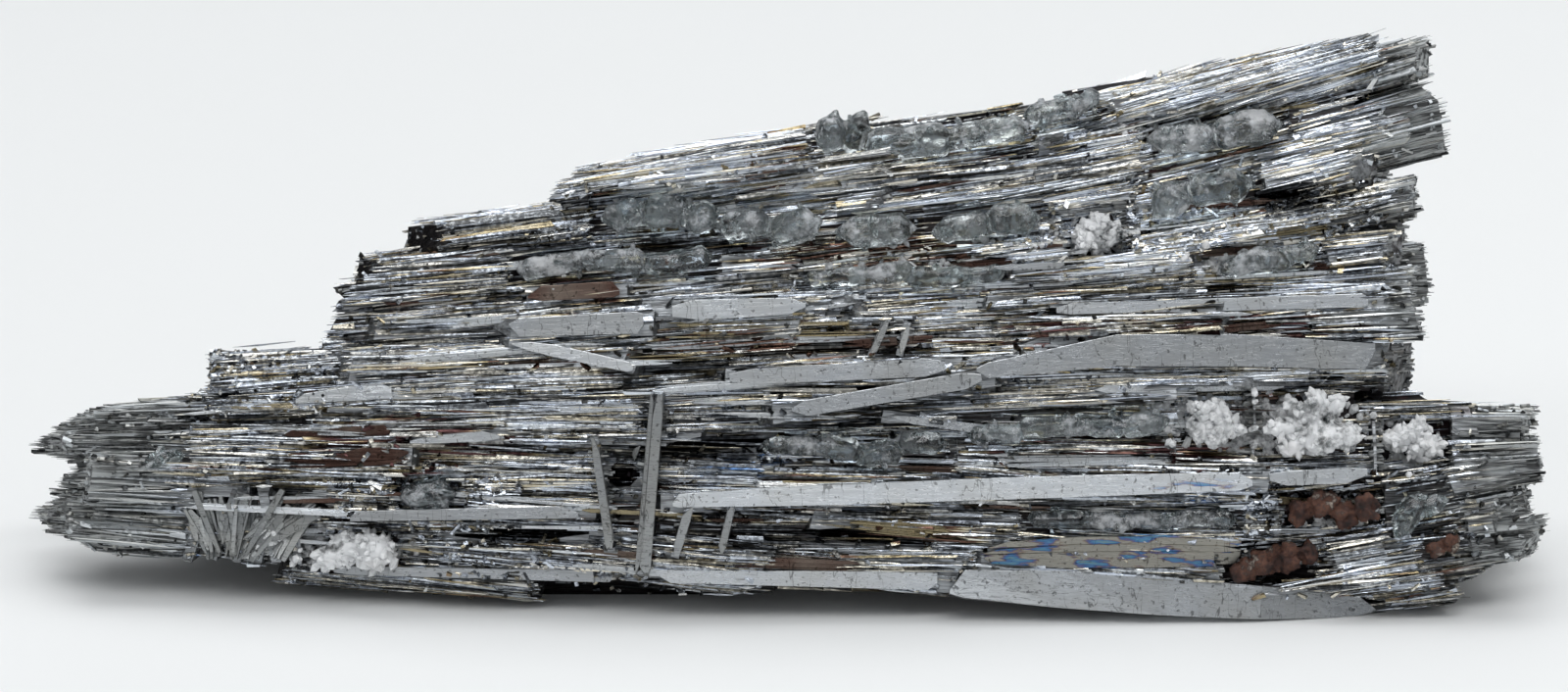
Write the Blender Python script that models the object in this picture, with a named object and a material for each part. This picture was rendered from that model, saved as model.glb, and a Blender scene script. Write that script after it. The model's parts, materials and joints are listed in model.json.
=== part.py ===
"""Stibnite crystal spray: a fan of intergrown metallic blades, with quartz and iron oxide in its gaps.

The spray rests on its underside. Its broad face leans back, and everything on that face is placed in the
face's own plane: u runs along the spray, v up the face and w out of it, all in millimetres.
The row frame is in metres, +Z up, with its origin under the middle of the spray on the surface it rests on.
"""

import math
import random

import bmesh
import bpy
from mathutils import Matrix, Vector

MM = 0.001

# Driving dimensions, in millimetres and degrees.
LENGTH = 110.0  # narrow tips to broad end
DEPTH = 28.0  # front edge to back
FACE_LEAN = 22.0  # the broad face leans back from the vertical
TIP_RECESS = 4.5  # the narrow end curves back by this much
RECESS_START = -10.0  # where it starts to curve back
RECESS_RUN = 45.0  # from there to where it has curved back by TIP_RECESS
ROOT = Vector((-150.0, 0.0, 8.0))  # the point that all blades radiate from
CORE_INSET = 1.3  # the fused core lies this far under the blades' faces
NARROW_END = -50.0  # only the pointed tips reach past here
UNDER_CLEAR = 0.3  # only the keel blades come nearer than this to the surface it rests on
ROW_OVERLAP = 1.0  # crystals of a row grow this far into each other
SEAT_GAP = 0.35  # clearance between a mineral and the pocket that it sits in
FLAT = 1.0  # degrees: faces that meet at less are one face
WELD = 0.000001  # metres: corners nearer than this are one corner
SEED = 11

# Envelope of the main fan: u, lower edge v, upper edge v, depth, height of the underside.
FAN = (
    (-48.5, 5.4, 13.6, 6.5, 4.2),
    (-43.0, 4.4, 17.4, 9.5, 3.0),
    (-34.2, 3.7, 19.2, 13.0, 1.4),
    (-32.4, 3.5, 22.8, 14.0, 1.1),
    (-29.0, 3.3, 25.4, 16.0, 0.9),
    (-20.5, 2.9, 27.2, 19.5, 0.8),
    (-15.5, 2.7, 29.8, 21.5, 0.8),
    (-10.5, 2.5, 33.0, 23.2, 0.8),
    (2.0, 2.1, 36.2, 25.0, 0.8),
    (14.0, 1.7, 38.0, 26.2, 0.8),
    (28.0, 1.0, 39.6, 27.2, 0.8),
    (41.0, 0.8, 41.0, 27.4, 0.8),
)
# Envelope of the lobe that reaches past the notch at the broad end.
LOBE = (
    (34.0, 0.9, 15.6, 22.0, 0.8),
    (44.0, 1.0, 15.2, 21.0, 0.9),
    (49.0, 1.8, 14.0, 18.5, 1.8),
    (51.4, 3.6, 13.0, 15.5, 3.2),
)
# Outline of the broad end: height up the face, and how far the blades reach there.
BROAD_END = (
    (0.0, 48.0),
    (1.0, 51.0),
    (5.4, 54.2),
    (7.4, 55.0),
    (13.2, 53.9),
    (14.2, 52.6),
    (15.6, 46.0),
    (16.6, 43.4),
    (20.6, 43.8),
    (22.2, 47.8),
    (23.4, 47.4),
    (24.4, 45.2),
    (28.0, 45.0),
    (36.8, 46.9),
    (38.4, 45.0),
    (41.6, 45.1),
)

# Blades that stand out on the face: start u, v, end u, v, width, how far proud, share that is a point.
MAJOR_BLADES = (
    (12.4, 2.5, 47.0, 0.9, 2.6, 0.9, 0.05),  # keel blade along the lower edge
    (14.0, 5.0, 32.5, 4.9, 2.3, 0.3, 0),
    (2.0, 7.3, 15.0, 6.0, 1.3, 0.5, 0),
    (-8.8, 8.5, 34.6, 10.0, 1.5, 0.8, 0),
    (-4.2, 17.4, 12.7, 18.3, 1.4, 0.7, 0),
    (13.6, 17.6, 19.0, 19.6, 1.8, 0.9, 0),
    (17.5, 19.2, 43.2, 18.9, 2.3, 0.7, 0),
    (-0.8, 14.8, 15.0, 17.5, 1.3, 1.7, 0),  # square-ended, the proudest
    (-20.9, 21.0, -9.3, 21.3, 1.7, 1.0, 0.12),
    (-10.2, 22.2, 3.0, 22.4, 1.4, 0.8, 0),
    (-9.2, 20.6, 7.2, 20.9, 1.5, 0.2, 0),
    (-20.6, 20.2, -10.6, 18.1, 0.9, 0.9, 0.1),
    (-32.4, 7.5, -13.4, 7.8, 1.0, 0.9, 0.05),
    (7.0, 14.7, 18.4, 13.2, 0.9, 0.9, 0),
    (-32.6, 11.4, -26.6, 11.9, 1.5, 0.5, 0),
    (-18.4, 23.4, -11.2, 23.9, 1.4, 0.4, 0),
    (14.5, 23.0, 43.5, 22.9, 1.1, 0.6, 0),
    (20.0, 20.9, 45.0, 24.5, 1.2, 0.8, 0),
    (24.0, 26.0, 45.0, 30.5, 1.6, 0.8, 0),
    (18.0, 31.4, 44.8, 35.4, 1.4, 0.7, 0),
    (22.0, 36.2, 45.2, 40.2, 1.6, 0.8, 0),
    (-6.0, 31.6, 16.0, 33.0, 1.2, 0.7, 0),
    (-26.0, 24.6, -6.0, 29.6, 1.2, 0.5, 0),
    (-42.0, 15.0, -22.0, 17.0, 1.2, 0.5, 0.05),
    (-30.0, 13.6, -6.0, 13.0, 1.0, 0.5, 0),
    (33.0, 1.6, 48.5, 4.6, 1.7, 0.8, 0.04),  # the lower corner of the lobe curves up
    (35.5, 3.4, 50.5, 7.4, 1.8, 0.6, 0.04),
    (44.5, 9.4, 54.0, 11.6, 2.0, 0.5, 0),
    (43.0, 13.2, 52.8, 13.4, 2.2, 0.4, 0),
)
# Thin blades grown across the others: upper u, v, lower u, v, width, how far proud.
CROSS_BLADES = (
    (-9.0, 16.4, -10.1, 3.2, 1.1, 1.5),
    (-13.5, 13.2, -12.3, 5.0, 0.7, 1.4),
    (-6.7, 8.3, -7.8, 4.6, 0.8, 1.3),
    (-3.7, 8.3, -4.6, 4.6, 0.7, 1.3),
    (7.4, 21.8, 6.2, 19.0, 0.7, 1.2),
    (8.8, 21.4, 8.2, 19.0, 0.7, 1.2),
)
# A sheaf of short blades stands across the others near the narrow end.
SHEAF_U = (-43.0, -33.2)
SHEAF_V = (3.9, 9.2)
SHEAF_COUNT = 7

# Tips of the narrow end: tip u, v, root u, v, width, thickness.
TIPS = (
    (-55.4, 12.4, -44.0, 13.4, 2.6, 2.6),
    (-53.4, 13.6, -42.0, 14.8, 2.0, 2.2),
    (-52.6, 11.8, -42.0, 12.2, 1.6, 2.2),
    (-55.4, 7.5, -43.0, 8.0, 2.8, 2.6),
    (-53.6, 8.9, -43.0, 9.2, 1.5, 2.2),
    (-54.0, 6.5, -41.5, 6.0, 2.0, 2.4),
    (-52.6, 9.8, -46.5, 10.2, 0.8, 1.0),
)

# Open slots between the blades: start u, v, end u, v, height, depth.
SLOTS = (
    (-8.4, 12.6, 0.2, 13.0, 1.3, 3.2),
    (1.2, 6.4, 10.8, 5.7, 1.2, 3.0),
    (-23.6, 6.2, -13.9, 6.4, 1.1, 2.8),
    (-12.8, 10.4, -10.3, 10.6, 2.2, 3.4),
    (-1.0, 16.3, 13.4, 16.6, 0.9, 2.6),
    (33.0, 30.2, 38.4, 31.2, 1.1, 2.6),
)

# Quartz crystals that lie in the gaps, by group: middle u, v, length, radius, turn from the grain in degrees.
LYING_QUARTZ = {
    "crest_left": (
        (3.4, 34.9, 2.8, 1.15, 70),
        (5.2, 35.0, 2.6, 1.1, 60),
        (9.0, 34.4, 6.4, 1.2, -3),
        (14.4, 35.0, 5.6, 1.1, 2),
    ),
    "crest_right": ((19.2, 36.6, 3.8, 0.9, 4), (21.4, 37.0, 2.4, 0.7, 25)),
    "upper_right": ((28.6, 34.6, 4.6, 1.2, -4), (33.0, 35.2, 5.0, 1.4, 3)),
    "row_left": ((-11.4, 29.2, 3.0, 1.2, 10), (-8.6, 29.3, 3.4, 1.3, -8), (-6.0, 28.9, 2.4, 1.1, 12)),
    "row_centre": ((-2.8, 28.4, 3.6, 1.2, 0), (0.6, 28.2, 3.8, 1.3, 8)),
    "row_mid": ((6.6, 28.0, 5.2, 1.3, -2),),
    "row_right": ((12.8, 28.2, 3.8, 1.1, 5), (16.2, 28.8, 3.6, 1.2, -4)),
    "pair_right": ((27.6, 30.2, 2.8, 1.4, 40), (31.0, 31.0, 4.6, 1.4, 2)),
    "pair_left": ((-16.6, 25.5, 4.6, 0.9, 3), (-12.2, 25.8, 4.6, 0.9, -3), (-7.8, 25.8, 4.8, 0.9, 1)),
    "seam": (
        (3.6, 24.6, 3.6, 0.7, 0),
        (7.0, 24.9, 4.0, 0.8, 4),
        (10.6, 24.6, 3.8, 0.8, -5),
        (13.8, 24.8, 3.2, 0.7, 0),
    ),
    "small_white": ((32.4, 25.4, 2.6, 0.8, 20), (34.6, 25.9, 2.8, 0.9, -12), (36.8, 26.4, 2.2, 0.7, 8)),
    "low_centre": (
        (0.6, 12.6, 3.4, 0.8, 0),
        (3.8, 12.4, 3.6, 1.0, -6),
        (6.8, 12.0, 3.0, 1.0, 12),
        (9.8, 12.8, 3.2, 0.9, -4),
    ),
    "band": (
        (15.2, 13.4, 3.8, 0.8, 0),
        (18.8, 13.9, 4.0, 0.9, 4),
        (22.4, 14.0, 4.0, 0.9, -3),
        (25.6, 14.1, 3.2, 0.9, 8),
    ),
    "low_band": (
        (19.6, 7.3, 3.8, 0.7, 0),
        (23.2, 7.2, 4.0, 0.7, -3),
        (27.0, 7.2, 4.0, 0.7, 3),
        (30.4, 7.4, 3.4, 0.7, 0),
    ),
    "rust_pocket": ((44.6, 7.6, 2.8, 1.0, 60), (46.0, 8.2, 2.4, 0.8, 20)),
    "foot_left": ((-32.0, 4.9, 3.2, 1.0, 30), (-29.6, 5.0, 3.0, 1.3, -20)),
    "block_left": ((-25.4, 9.0, 3.6, 1.2, 5),),
    "tip": ((-44.6, 11.6, 2.2, 0.7, 10),),
}
# Quartz that bursts out from a middle: middle u, v, reach along, reach up, number of crystals.
QUARTZ_BURSTS = {
    "white_ball": (22.4, 27.6, 1.9, 1.7, 5),
    "white_cluster": (30.6, 14.2, 2.4, 1.9, 5),
    "white_fan": (37.6, 13.9, 3.9, 2.5, 8),
    "lobe_cluster": (45.2, 13.0, 2.2, 1.7, 4),
}
# Quartz on the back: middle u, place around the section, length, radius, turn from the grain.
BACK_QUARTZ = {
    "back_high": ((8.0, 4.40, 4.6, 1.2, 4), (12.2, 4.42, 3.8, 1.1, -8), (15.6, 4.38, 3.2, 1.0, 15)),
    "back_low": ((-12.0, 5.50, 4.0, 1.1, 6), (-8.4, 5.45, 3.6, 1.2, -10)),
}
# Lumps of iron oxide, by group: u, v, size.
IRON_OXIDE = {
    "nodules": ((37.0, 7.9, 2.0), (38.5, 8.4, 2.3), (40.1, 7.7, 2.2), (41.5, 8.2, 2.0)),
    "mass": ((33.0, 3.6, 2.0), (34.5, 4.2, 2.4), (36.0, 4.6, 2.3), (37.4, 5.0, 1.8)),
    "spot": ((46.6, 5.2, 1.6), (47.7, 5.5, 1.4)),
}

# Flat faces that it rests on: start x, end x, y, width.
KEELS = (
    (14.0, 44.0, -8.5, 5.0),
    (-26.0, -4.0, -8.0, 4.5),
    (-20.0, 4.0, 3.5, 5.0),
    (20.0, 44.0, 6.0, 6.0),
)


# ---------------------------------------------------------------- frames and fields


def recess(u):
    """How far the face has curved back at u, in millimetres."""
    return TIP_RECESS * max(0.0, (RECESS_START - u) / RECESS_RUN) ** 2


def face(u, v, w=0.0):
    """Point u along the spray, v up the leaning face and w out of it, in millimetres."""
    lean = math.radians(FACE_LEAN)
    out = w - recess(u)
    return Vector(
        (
            u,
            -DEPTH / 2 + v * math.sin(lean) - out * math.cos(lean),
            v * math.cos(lean) + out * math.sin(lean),
        )
    )


FACE_OUT = (face(0, 0, 1) - face(0, 0)).normalized()


def grain(point):
    """Unit direction in which the blades grow at a point."""
    return (Vector(point) - ROOT).normalized()


def read_row(rows, place):
    """The values of a table at a place in its first column."""
    for near, far in zip(rows, rows[1:]):
        if place <= far[0]:
            break
    share = min(1.0, max(0.0, (place - near[0]) / (far[0] - near[0])))
    return [a + (b - a) * share for a, b in zip(near[1:], far[1:])]


# The face swells out between its edges: share of the way up, and how far out.
SWELL = ((0.0, 0.0), (0.35, 1.2), (0.70, 1.0), (1.0, -0.4))
# The crest: how far up the face, and how far back from it as a share of the depth.
CREST = (0.96, 0.20)
# Points of the back and the underside, as shares of the depth and of the height.
BACK = ((0.90, 0.60), (1.00, 0.32), (0.88, 0.06), (0.66, 0.0), (0.14, 0.0))


def section(envelope, u, inset=0.0):
    """Outline of the spray at u, anticlockwise from the front lower edge as seen from the broad end."""
    low, high, depth, under = read_row(envelope, u)
    foot = face(u, low).y
    height = face(u, high).z - under
    outline = [face(u, low + share * (high - low), out) for share, out in SWELL]
    outline.append(face(u, low + CREST[0] * (high - low), -CREST[1] * depth))
    outline += [Vector((u, foot + back * depth, under + up * height)) for back, up in BACK]
    middle = sum(outline, Vector()) / len(outline)
    return [middle + (p - middle) * (1 - inset / (p - middle).length) for p in outline]


SIDES = len(section(FAN, 0))
FRONT_SIDES = 3  # the first three sides of a section are the broad face
TOP_SIDE = 3  # the side along the crest


def skin(envelope, u, around):
    """Point on the envelope and its outward normal, at u and at a place around the section, 0 to SIDES."""

    def at(u_, around_):
        outline = section(envelope, u_)
        side = int(around_) % SIDES
        return outline[side].lerp(outline[(side + 1) % SIDES], around_ - int(around_))

    side = int(around)
    point = at(u, around)
    along = at(u + 0.5, around) - at(u - 0.5, around)
    across = at(u, side + 0.9) - at(u, side + 0.1)
    return point, along.cross(across).normalized()


def front(u, v, proud=0.0):
    """Point on the broad face at u and v, proud of the envelope."""
    low, high = read_row(FAN if u < FAN[-1][0] else LOBE, u)[:2]
    share = min(1.0, max(0.0, (v - low) / (high - low)))
    return face(u, v, read_row(SWELL, share)[0] + proud)


# ---------------------------------------------------------------- shells


def add_ring_shell(bm, rings, tip_start=None, tip_end=None):
    """Adds a closed shell through rings of points, capped flat or drawn to a tip at each end."""
    made = [[bm.verts.new(p * MM) for p in ring] for ring in rings]
    count = len(made[0])
    for near, far in zip(made, made[1:]):
        for i in range(count):
            j = (i + 1) % count
            bm.faces.new((near[i], near[j], far[j], far[i]))
    for ring, tip, step in ((made[0], tip_start, -1), (made[-1], tip_end, 1)):
        if tip is None:
            bm.faces.new(ring[::step])
            continue
        apex = bm.verts.new(tip * MM)
        for i in range(count):
            a, b = ring[i], ring[(i + 1) % count]
            bm.faces.new((a, b, apex) if step > 0 else (b, a, apex))


def step_inside(points, floor):
    """The step that brings points within the overall length and depth and above the floor."""
    low = [min(p[i] for p in points) for i in range(3)]
    high = [max(p[i] for p in points) for i in range(3)]
    step = Vector((0.0, 0.0, max(0.0, floor - low[2])))
    for i, limit in ((0, LENGTH / 2), (1, DEPTH / 2)):
        step[i] = max(0.0, -limit - low[i]) - max(0.0, high[i] - limit)
    return step


# Sections of a blade, as shares of its width and thickness below its flat top face.
SUNK = ((-0.60, -1.00), (0.60, -1.00), (0.36, 0.00), (-0.36, 0.00))
FREE = ((-0.36, -1.00), (0.36, -1.00), (0.54, -0.45), (0.36, 0.00), (-0.36, 0.00), (-0.54, -0.45))


def add_blade(
    bm, start, end, out, width, thick, slants=(0.6, 0.6), point=0.0, floor=UNDER_CLEAR, profile=SUNK
):
    """Adds a flat-topped blade whose top face runs from start to end. Its ends slope down by slants.

    point is the share of the length that draws in to a sharp tip at start."""
    along = (end - start).normalized()
    side = out.cross(along).normalized()
    up = along.cross(side)

    def ring(centre, slant, skew, scale=1.0):
        points = []
        for a, b in profile:
            run = slant * thick * b + skew * width * a
            points.append(centre + along * run + side * (a * width * scale) + up * (b * thick))
        return points

    rings = [ring(start, slants[0], 0.35 * slants[1]), ring(end, -slants[1], 0.35 * slants[0])]
    tip = []
    if point:
        rings[0] = ring(start.lerp(end, point), 0.0, 0.0, 0.9)
        tip = [start - up * (0.4 * thick)]
    step = step_inside(rings[0] + rings[1] + tip, floor)
    rings = [[p + step for p in r] for r in rings]
    add_ring_shell(bm, rings, tip_start=tip[0] + step if tip else None)


def add_crystal(bm, foot, axis, length, radius, turn=0.0, sharp=1.0):
    """Adds a six-sided prism with a pyramid at each end."""
    axis = axis.normalized()
    side = axis.orthogonal().normalized()
    other = axis.cross(side)

    def ring(run, scale):
        points = []
        for i in range(6):
            angle = turn + math.tau * i / 6
            around = side * math.cos(angle) + other * math.sin(angle)
            points.append(foot + axis * run + around * (radius * scale))
        return points

    shoulder = sharp * radius
    add_ring_shell(
        bm,
        [ring(shoulder, 0.94), ring(length - shoulder, 1.0)],
        tip_start=foot,
        tip_end=foot + axis * length,
    )


def add_lump(bm, centre, size, chance):
    """Adds a faceted lump: a ball of flat faces, stretched to size and knocked out of round."""
    ball = bmesh.ops.create_icosphere(bm, subdivisions=1, radius=0.5)
    for vert in ball["verts"]:
        bump = chance.uniform(0.85, 1.15)
        vert.co = Vector([c * s * bump for c, s in zip(vert.co, size)]) * MM + centre * MM


# ---------------------------------------------------------------- solids


def object_from(bm, name):
    """Makes an object of a bmesh, with its faces pointing out."""
    bmesh.ops.recalc_face_normals(bm, faces=bm.faces)
    mesh = bpy.data.meshes.new(name)
    bm.to_mesh(mesh)
    bm.free()
    made = bpy.data.objects.new(name, mesh)
    bpy.context.scene.collection.objects.link(made)
    return made


def combine(target, other, operation):
    """Joins other to target, or cuts it from target, with a live Boolean. Shells inside one mesh join too."""
    other.hide_render = True
    other.display_type = "WIRE"
    modifier = target.modifiers.new(operation.title(), "BOOLEAN")
    modifier.operation = operation
    modifier.solver = "EXACT"
    modifier.use_self = True
    modifier.object = other


def settle(obj):
    """Turns an object's live Booleans into a plain mesh, and drops what they left loose or sealed inside."""
    bpy.context.view_layer.update()
    graph = bpy.context.evaluated_depsgraph_get()
    mesh = bpy.data.meshes.new_from_object(obj.evaluated_get(graph))
    obj.modifiers.clear()
    obj.data = mesh
    bm = bmesh.new()
    bm.from_mesh(mesh)
    left = set(bm.verts)
    shells = []
    while left:
        shell, edge_of = set(), [left.pop()]
        while edge_of:
            vert = edge_of.pop()
            shell.add(vert)
            near = {edge.other_vert(vert) for edge in vert.link_edges} & left
            left -= near
            edge_of.extend(near)
        shells.append(shell)
    outer = max(shells, key=lambda shell: max(v.co.x for v in shell) - min(v.co.x for v in shell))
    bmesh.ops.delete(bm, geom=[v for v in bm.verts if v not in outer], context="VERTS")
    bmesh.ops.remove_doubles(bm, verts=bm.verts, dist=WELD)
    bmesh.ops.dissolve_limit(bm, angle_limit=math.radians(FLAT), verts=bm.verts, edges=bm.edges)
    bm.to_mesh(mesh)
    bm.free()


# ---------------------------------------------------------------- the spray


def add_core(bm, envelope, step):
    """Adds the fused core inside an envelope."""
    first, last = envelope[0][0], envelope[-1][0]
    count = max(2, round((last - first) / step))
    places = {row[0] for row in envelope} | {first + (last - first) * i / count for i in range(count + 1)}
    add_ring_shell(bm, [section(envelope, u, CORE_INSET) for u in sorted(places)])


def add_skin_blades(bm, envelope, chance):
    """Adds the rows of blades that cover the core, each along the grain."""
    row_step = 11.0
    front_pitch, other_pitch = 5.0, 10.0
    u = envelope[0][0] + 3.0
    while u < envelope[-1][0] - 1.0:
        outline = section(envelope, u)
        for side in range(SIDES):
            on_face = side < FRONT_SIDES
            run = (outline[(side + 1) % SIDES] - outline[side]).length
            count = int(run / (front_pitch if on_face else other_pitch) + chance.random())
            for k in range(count):
                place = u + chance.uniform(-3.0, 3.0)
                around = side + (k + chance.uniform(0.25, 0.75)) / count
                point, out = skin(envelope, place, around)
                wander = Vector((0, chance.uniform(-0.03, 0.03), chance.uniform(-0.03, 0.04)))
                along = grain(point) + wander
                tilted = Matrix.Rotation(chance.uniform(-0.45, 0.45), 3, along) @ out
                length = chance.uniform(13.0, 26.0) * min(1.0, 0.5 + (u + 50.0) / 60.0)
                lead = 0.2 if side == TOP_SIDE else 0.5
                point = point - tilted * chance.uniform(-0.5, 0.6)
                end = point + along * (length * (1 - lead))
                limit = read_row(BROAD_END, end.z / math.cos(math.radians(FACE_LEAN)))[0]
                end -= along * max(0.0, end.x - limit + chance.uniform(0.0, 2.0))
                start = end - along * length
                start += along * max(0.0, NARROW_END - start.x)
                add_blade(
                    bm,
                    start,
                    end,
                    tilted,
                    chance.uniform(2.0, 4.0) if on_face else chance.uniform(4.0, 6.6),
                    chance.uniform(1.9, 2.6),
                    (chance.uniform(0.2, 1.5), chance.uniform(0.2, 1.5)),
                )
        u += row_step


def add_end_stubs(bm, envelope, chance):
    """Adds the broken ends of the blades, over the flat end of an envelope's core."""
    u = envelope[-1][0]
    outline = section(envelope, u, 1.6)
    pitch = 5.4
    z = min(p.z for p in outline) + 0.5 * pitch
    while z < max(p.z for p in outline):
        y = min(p.y for p in outline) + 0.5 * pitch
        while y < max(p.y for p in outline):
            middle = Vector((u, y + chance.uniform(-0.7, 0.7), z + chance.uniform(-0.7, 0.7)))
            y += pitch
            crossings = 0
            for a, b in zip(outline, outline[1:] + outline[:1]):
                if (a.z > middle.z) != (b.z > middle.z):
                    crossings += a.y + (b.y - a.y) * (middle.z - a.z) / (b.z - a.z) > middle.y
            if crossings % 2 == 0:
                continue
            along = grain(middle) + Vector((0, chance.uniform(-0.08, 0.08), chance.uniform(-0.08, 0.08)))
            limit = read_row(BROAD_END, middle.z / math.cos(math.radians(FACE_LEAN)))[0]
            reach = min(limit, u + 6.0) - u - chance.uniform(0.0, 2.6)
            out = Matrix.Rotation(chance.uniform(0.0, math.tau), 3, along) @ Vector((0, 0, 1))
            thick = chance.uniform(3.2, 4.8)
            top = middle + out * (0.5 * thick)
            slants = (0.0, chance.uniform(-0.6, 0.8))
            end = top + along * max(1.2, reach)
            add_blade(bm, top - along * 3.0, end, out, thick + 0.6, thick, slants, profile=FREE)
        z += pitch


def add_face_blades(bm, chance):
    """Adds the blades that stand out on the broad face, the ones that cross it and the tips."""
    for u0, v0, u1, v1, width, proud, point in MAJOR_BLADES:
        slants = (chance.uniform(0.1, 0.6), chance.uniform(0.1, 0.6))
        add_blade(bm, front(u0, v0, proud), front(u1, v1, proud), FACE_OUT, width / 0.72, 2.4, slants, point)
    for u0, v0, u1, v1, width, proud in CROSS_BLADES:
        add_blade(bm, front(u0, v0, proud), front(u1, v1, proud), FACE_OUT, width, 2.2, (0.1, 0.1))
    for i in range(SHEAF_COUNT):
        u = SHEAF_U[0] + (SHEAF_U[1] - SHEAF_U[0]) * i / (SHEAF_COUNT - 1)
        foot = front(u + chance.uniform(-0.3, 0.3), SHEAF_V[0] + chance.uniform(0.0, 0.8), 0.5)
        head_u, head_v = u + chance.uniform(-1.0, 2.6), SHEAF_V[1] - chance.uniform(0.0, 2.2)
        head = front(head_u, head_v, chance.uniform(0.5, 1.1))
        add_blade(bm, foot, head, FACE_OUT, chance.uniform(0.8, 1.3), 1.8, (0.1, 0.3))
    for u0, v0, u1, v1, width, thick in TIPS:
        tip = face(u0, v0, -0.5 * thick)
        root = face(u1, v1, -0.3)
        add_blade(bm, tip, root, FACE_OUT, width, thick, point=0.3)
        if width > 2.5:
            tip = face(u0 + 2.0, v0, -1.4 * thick)
            add_blade(bm, tip, face(u1, v1, -2.2 * thick), -FACE_OUT, width, thick, point=0.3)


def add_keels(bm):
    """Adds the blades that it rests on, with their flat faces down on the surface."""
    down = Vector((0, 0, -1))
    for x0, x1, y, width in KEELS:
        add_blade(bm, Vector((x0, y, 0)), Vector((x1, y, 0)), down, width, 2.4, (0.8, 0.8), floor=0.0)


def add_slots(bm):
    """Adds the shapes of the open slots, wedges that narrow inwards and towards both ends."""
    for u0, v0, u1, v1, height, depth in SLOTS:
        rings = []
        for share, size in ((0.0, 0.3), (0.3, 1.0), (0.7, 1.0), (1.0, 0.3)):
            u, v = u0 + (u1 - u0) * share, v0 + (v1 - v0) * share
            half = 0.5 * height * size
            rings.append(
                [
                    front(u, v - half, 4.0),
                    front(u, v + half, 4.0),
                    front(u, v + 0.7 * half, -depth * size),
                    front(u, v - 0.7 * half, -depth * size),
                ]
            )
        add_ring_shell(bm, rings)


# ---------------------------------------------------------------- the minerals in its gaps


def turned(direction, degrees, axis):
    """A direction turned about an axis."""
    return Matrix.Rotation(math.radians(degrees), 3, axis) @ direction


def lying_crystals(rows, place):
    """Crystals that lie along the grain: middle, outward direction, axis, length and radius of each."""
    crystals = []
    for u, second, length, radius, turn in rows:
        point, out = place(u, second)
        axis = turned(grain(point), turn, out)
        crystals.append((point + out * (0.2 * radius), out, axis, length + ROW_OVERLAP, radius))
    return crystals


def row_direction(crystals):
    """The direction of a row of crystals."""
    return crystals[-1][0] - crystals[0][0] if len(crystals) > 1 else crystals[0][2]


def burst_crystals(u, v, reach_u, reach_v, count, chance):
    """Crystals that radiate from one point of the face, longest along the grain."""
    centre = front(u, v, -0.6)
    along = grain(centre)
    crystals = []
    for i in range(count):
        angle = 360.0 * (i + chance.uniform(-0.3, 0.3)) / count
        spread = math.hypot(reach_u * math.cos(math.radians(angle)), reach_v * math.sin(math.radians(angle)))
        flat = turned(along, angle, FACE_OUT)
        axis = (flat + FACE_OUT * chance.uniform(0.25, 0.9)).normalized()
        length = spread * chance.uniform(0.85, 1.1)
        start = centre + flat * (0.2 * spread * chance.random())
        crystals.append((start + axis * (0.4 * length), FACE_OUT, axis, length, chance.uniform(0.55, 0.85)))
    return crystals


def corners(middle, axes, halves):
    """The eight corners of a box."""
    points = []
    for i in range(8):
        signs = (i & 1, i >> 1 & 1, i >> 2 & 1)
        points.append(middle + sum((a * (h if s else -h) for a, h, s in zip(axes, halves, signs)), Vector()))
    return points


def add_seat(seats, crystals, along):
    """Adds the shape of the pocket for crystals: a box along a direction that clears them all."""
    out = crystals[0][1]
    across = out.cross(along).normalized()
    frame = (across.cross(out), across, out)
    points = []
    for middle, up, axis, length, radius in crystals:
        side = up.cross(axis).normalized()
        points += corners(middle, (axis, side, axis.cross(side)), (0.5 * length, radius, radius))
    reach = [(min(p.dot(a) for p in points), max(p.dot(a) for p in points)) for a in frame]
    middle = sum((a * (0.5 * (low + high)) for a, (low, high) in zip(frame, reach)), Vector())
    p = corners(middle, frame, [0.5 * (high - low) + SEAT_GAP for low, high in reach])
    add_ring_shell(seats, [[p[0], p[2], p[6], p[4]], [p[1], p[3], p[7], p[5]]])


def quartz_group(name, crystals, along, seats):
    """Crystals grown into each other along a direction. Adds the room that they need to seats."""
    first, others = bmesh.new(), bmesh.new()
    for number, (middle, _, axis, length, radius) in enumerate(crystals):
        foot = middle - axis * (0.5 * length)
        add_crystal(others if number else first, foot, axis, length, radius, 0.7 * number)
    add_seat(seats, crystals, along)
    made = object_from(first, "quartz_" + name)
    if len(crystals) > 1:
        combine(made, object_from(others, "prisms_" + name), "UNION")
    return made


def iron_oxide(name, lumps, chance, seats):
    """A crust of lumps. Adds the room that it needs to seats."""
    first, others, balls = bmesh.new(), bmesh.new(), []
    for number, (u, v, size) in enumerate(lumps):
        centre = front(u, v, 0.05 * size)
        add_lump(others if number else first, centre, (size, size, 0.9 * size), chance)
        balls.append((centre, FACE_OUT, grain(centre), 1.15 * size, 0.575 * size))
    add_seat(seats, balls, balls[-1][0] - balls[0][0])
    made = object_from(first, "iron_oxide_" + name)
    combine(made, object_from(others, "lumps_" + name), "UNION")
    return made


def stibnite_spray(seats):
    """The fused mass of blades, with its open slots and with pockets for what seats holds."""
    chance = random.Random(SEED)
    core = bmesh.new()
    add_core(core, FAN, 12.0)
    spray = object_from(core, "stibnite_spray")
    blades = bmesh.new()
    add_core(blades, LOBE, 8.0)
    add_skin_blades(blades, FAN, chance)
    add_skin_blades(blades, LOBE, chance)
    add_end_stubs(blades, FAN, chance)
    add_end_stubs(blades, LOBE, chance)
    add_face_blades(blades, chance)
    add_keels(blades)
    combine(spray, object_from(blades, "blade_shells"), "UNION")
    settle(spray)
    add_slots(seats)
    combine(spray, object_from(seats, "pockets_and_slots"), "DIFFERENCE")
    settle(spray)
    return spray


# ---------------------------------------------------------------- materials and the whole


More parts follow.
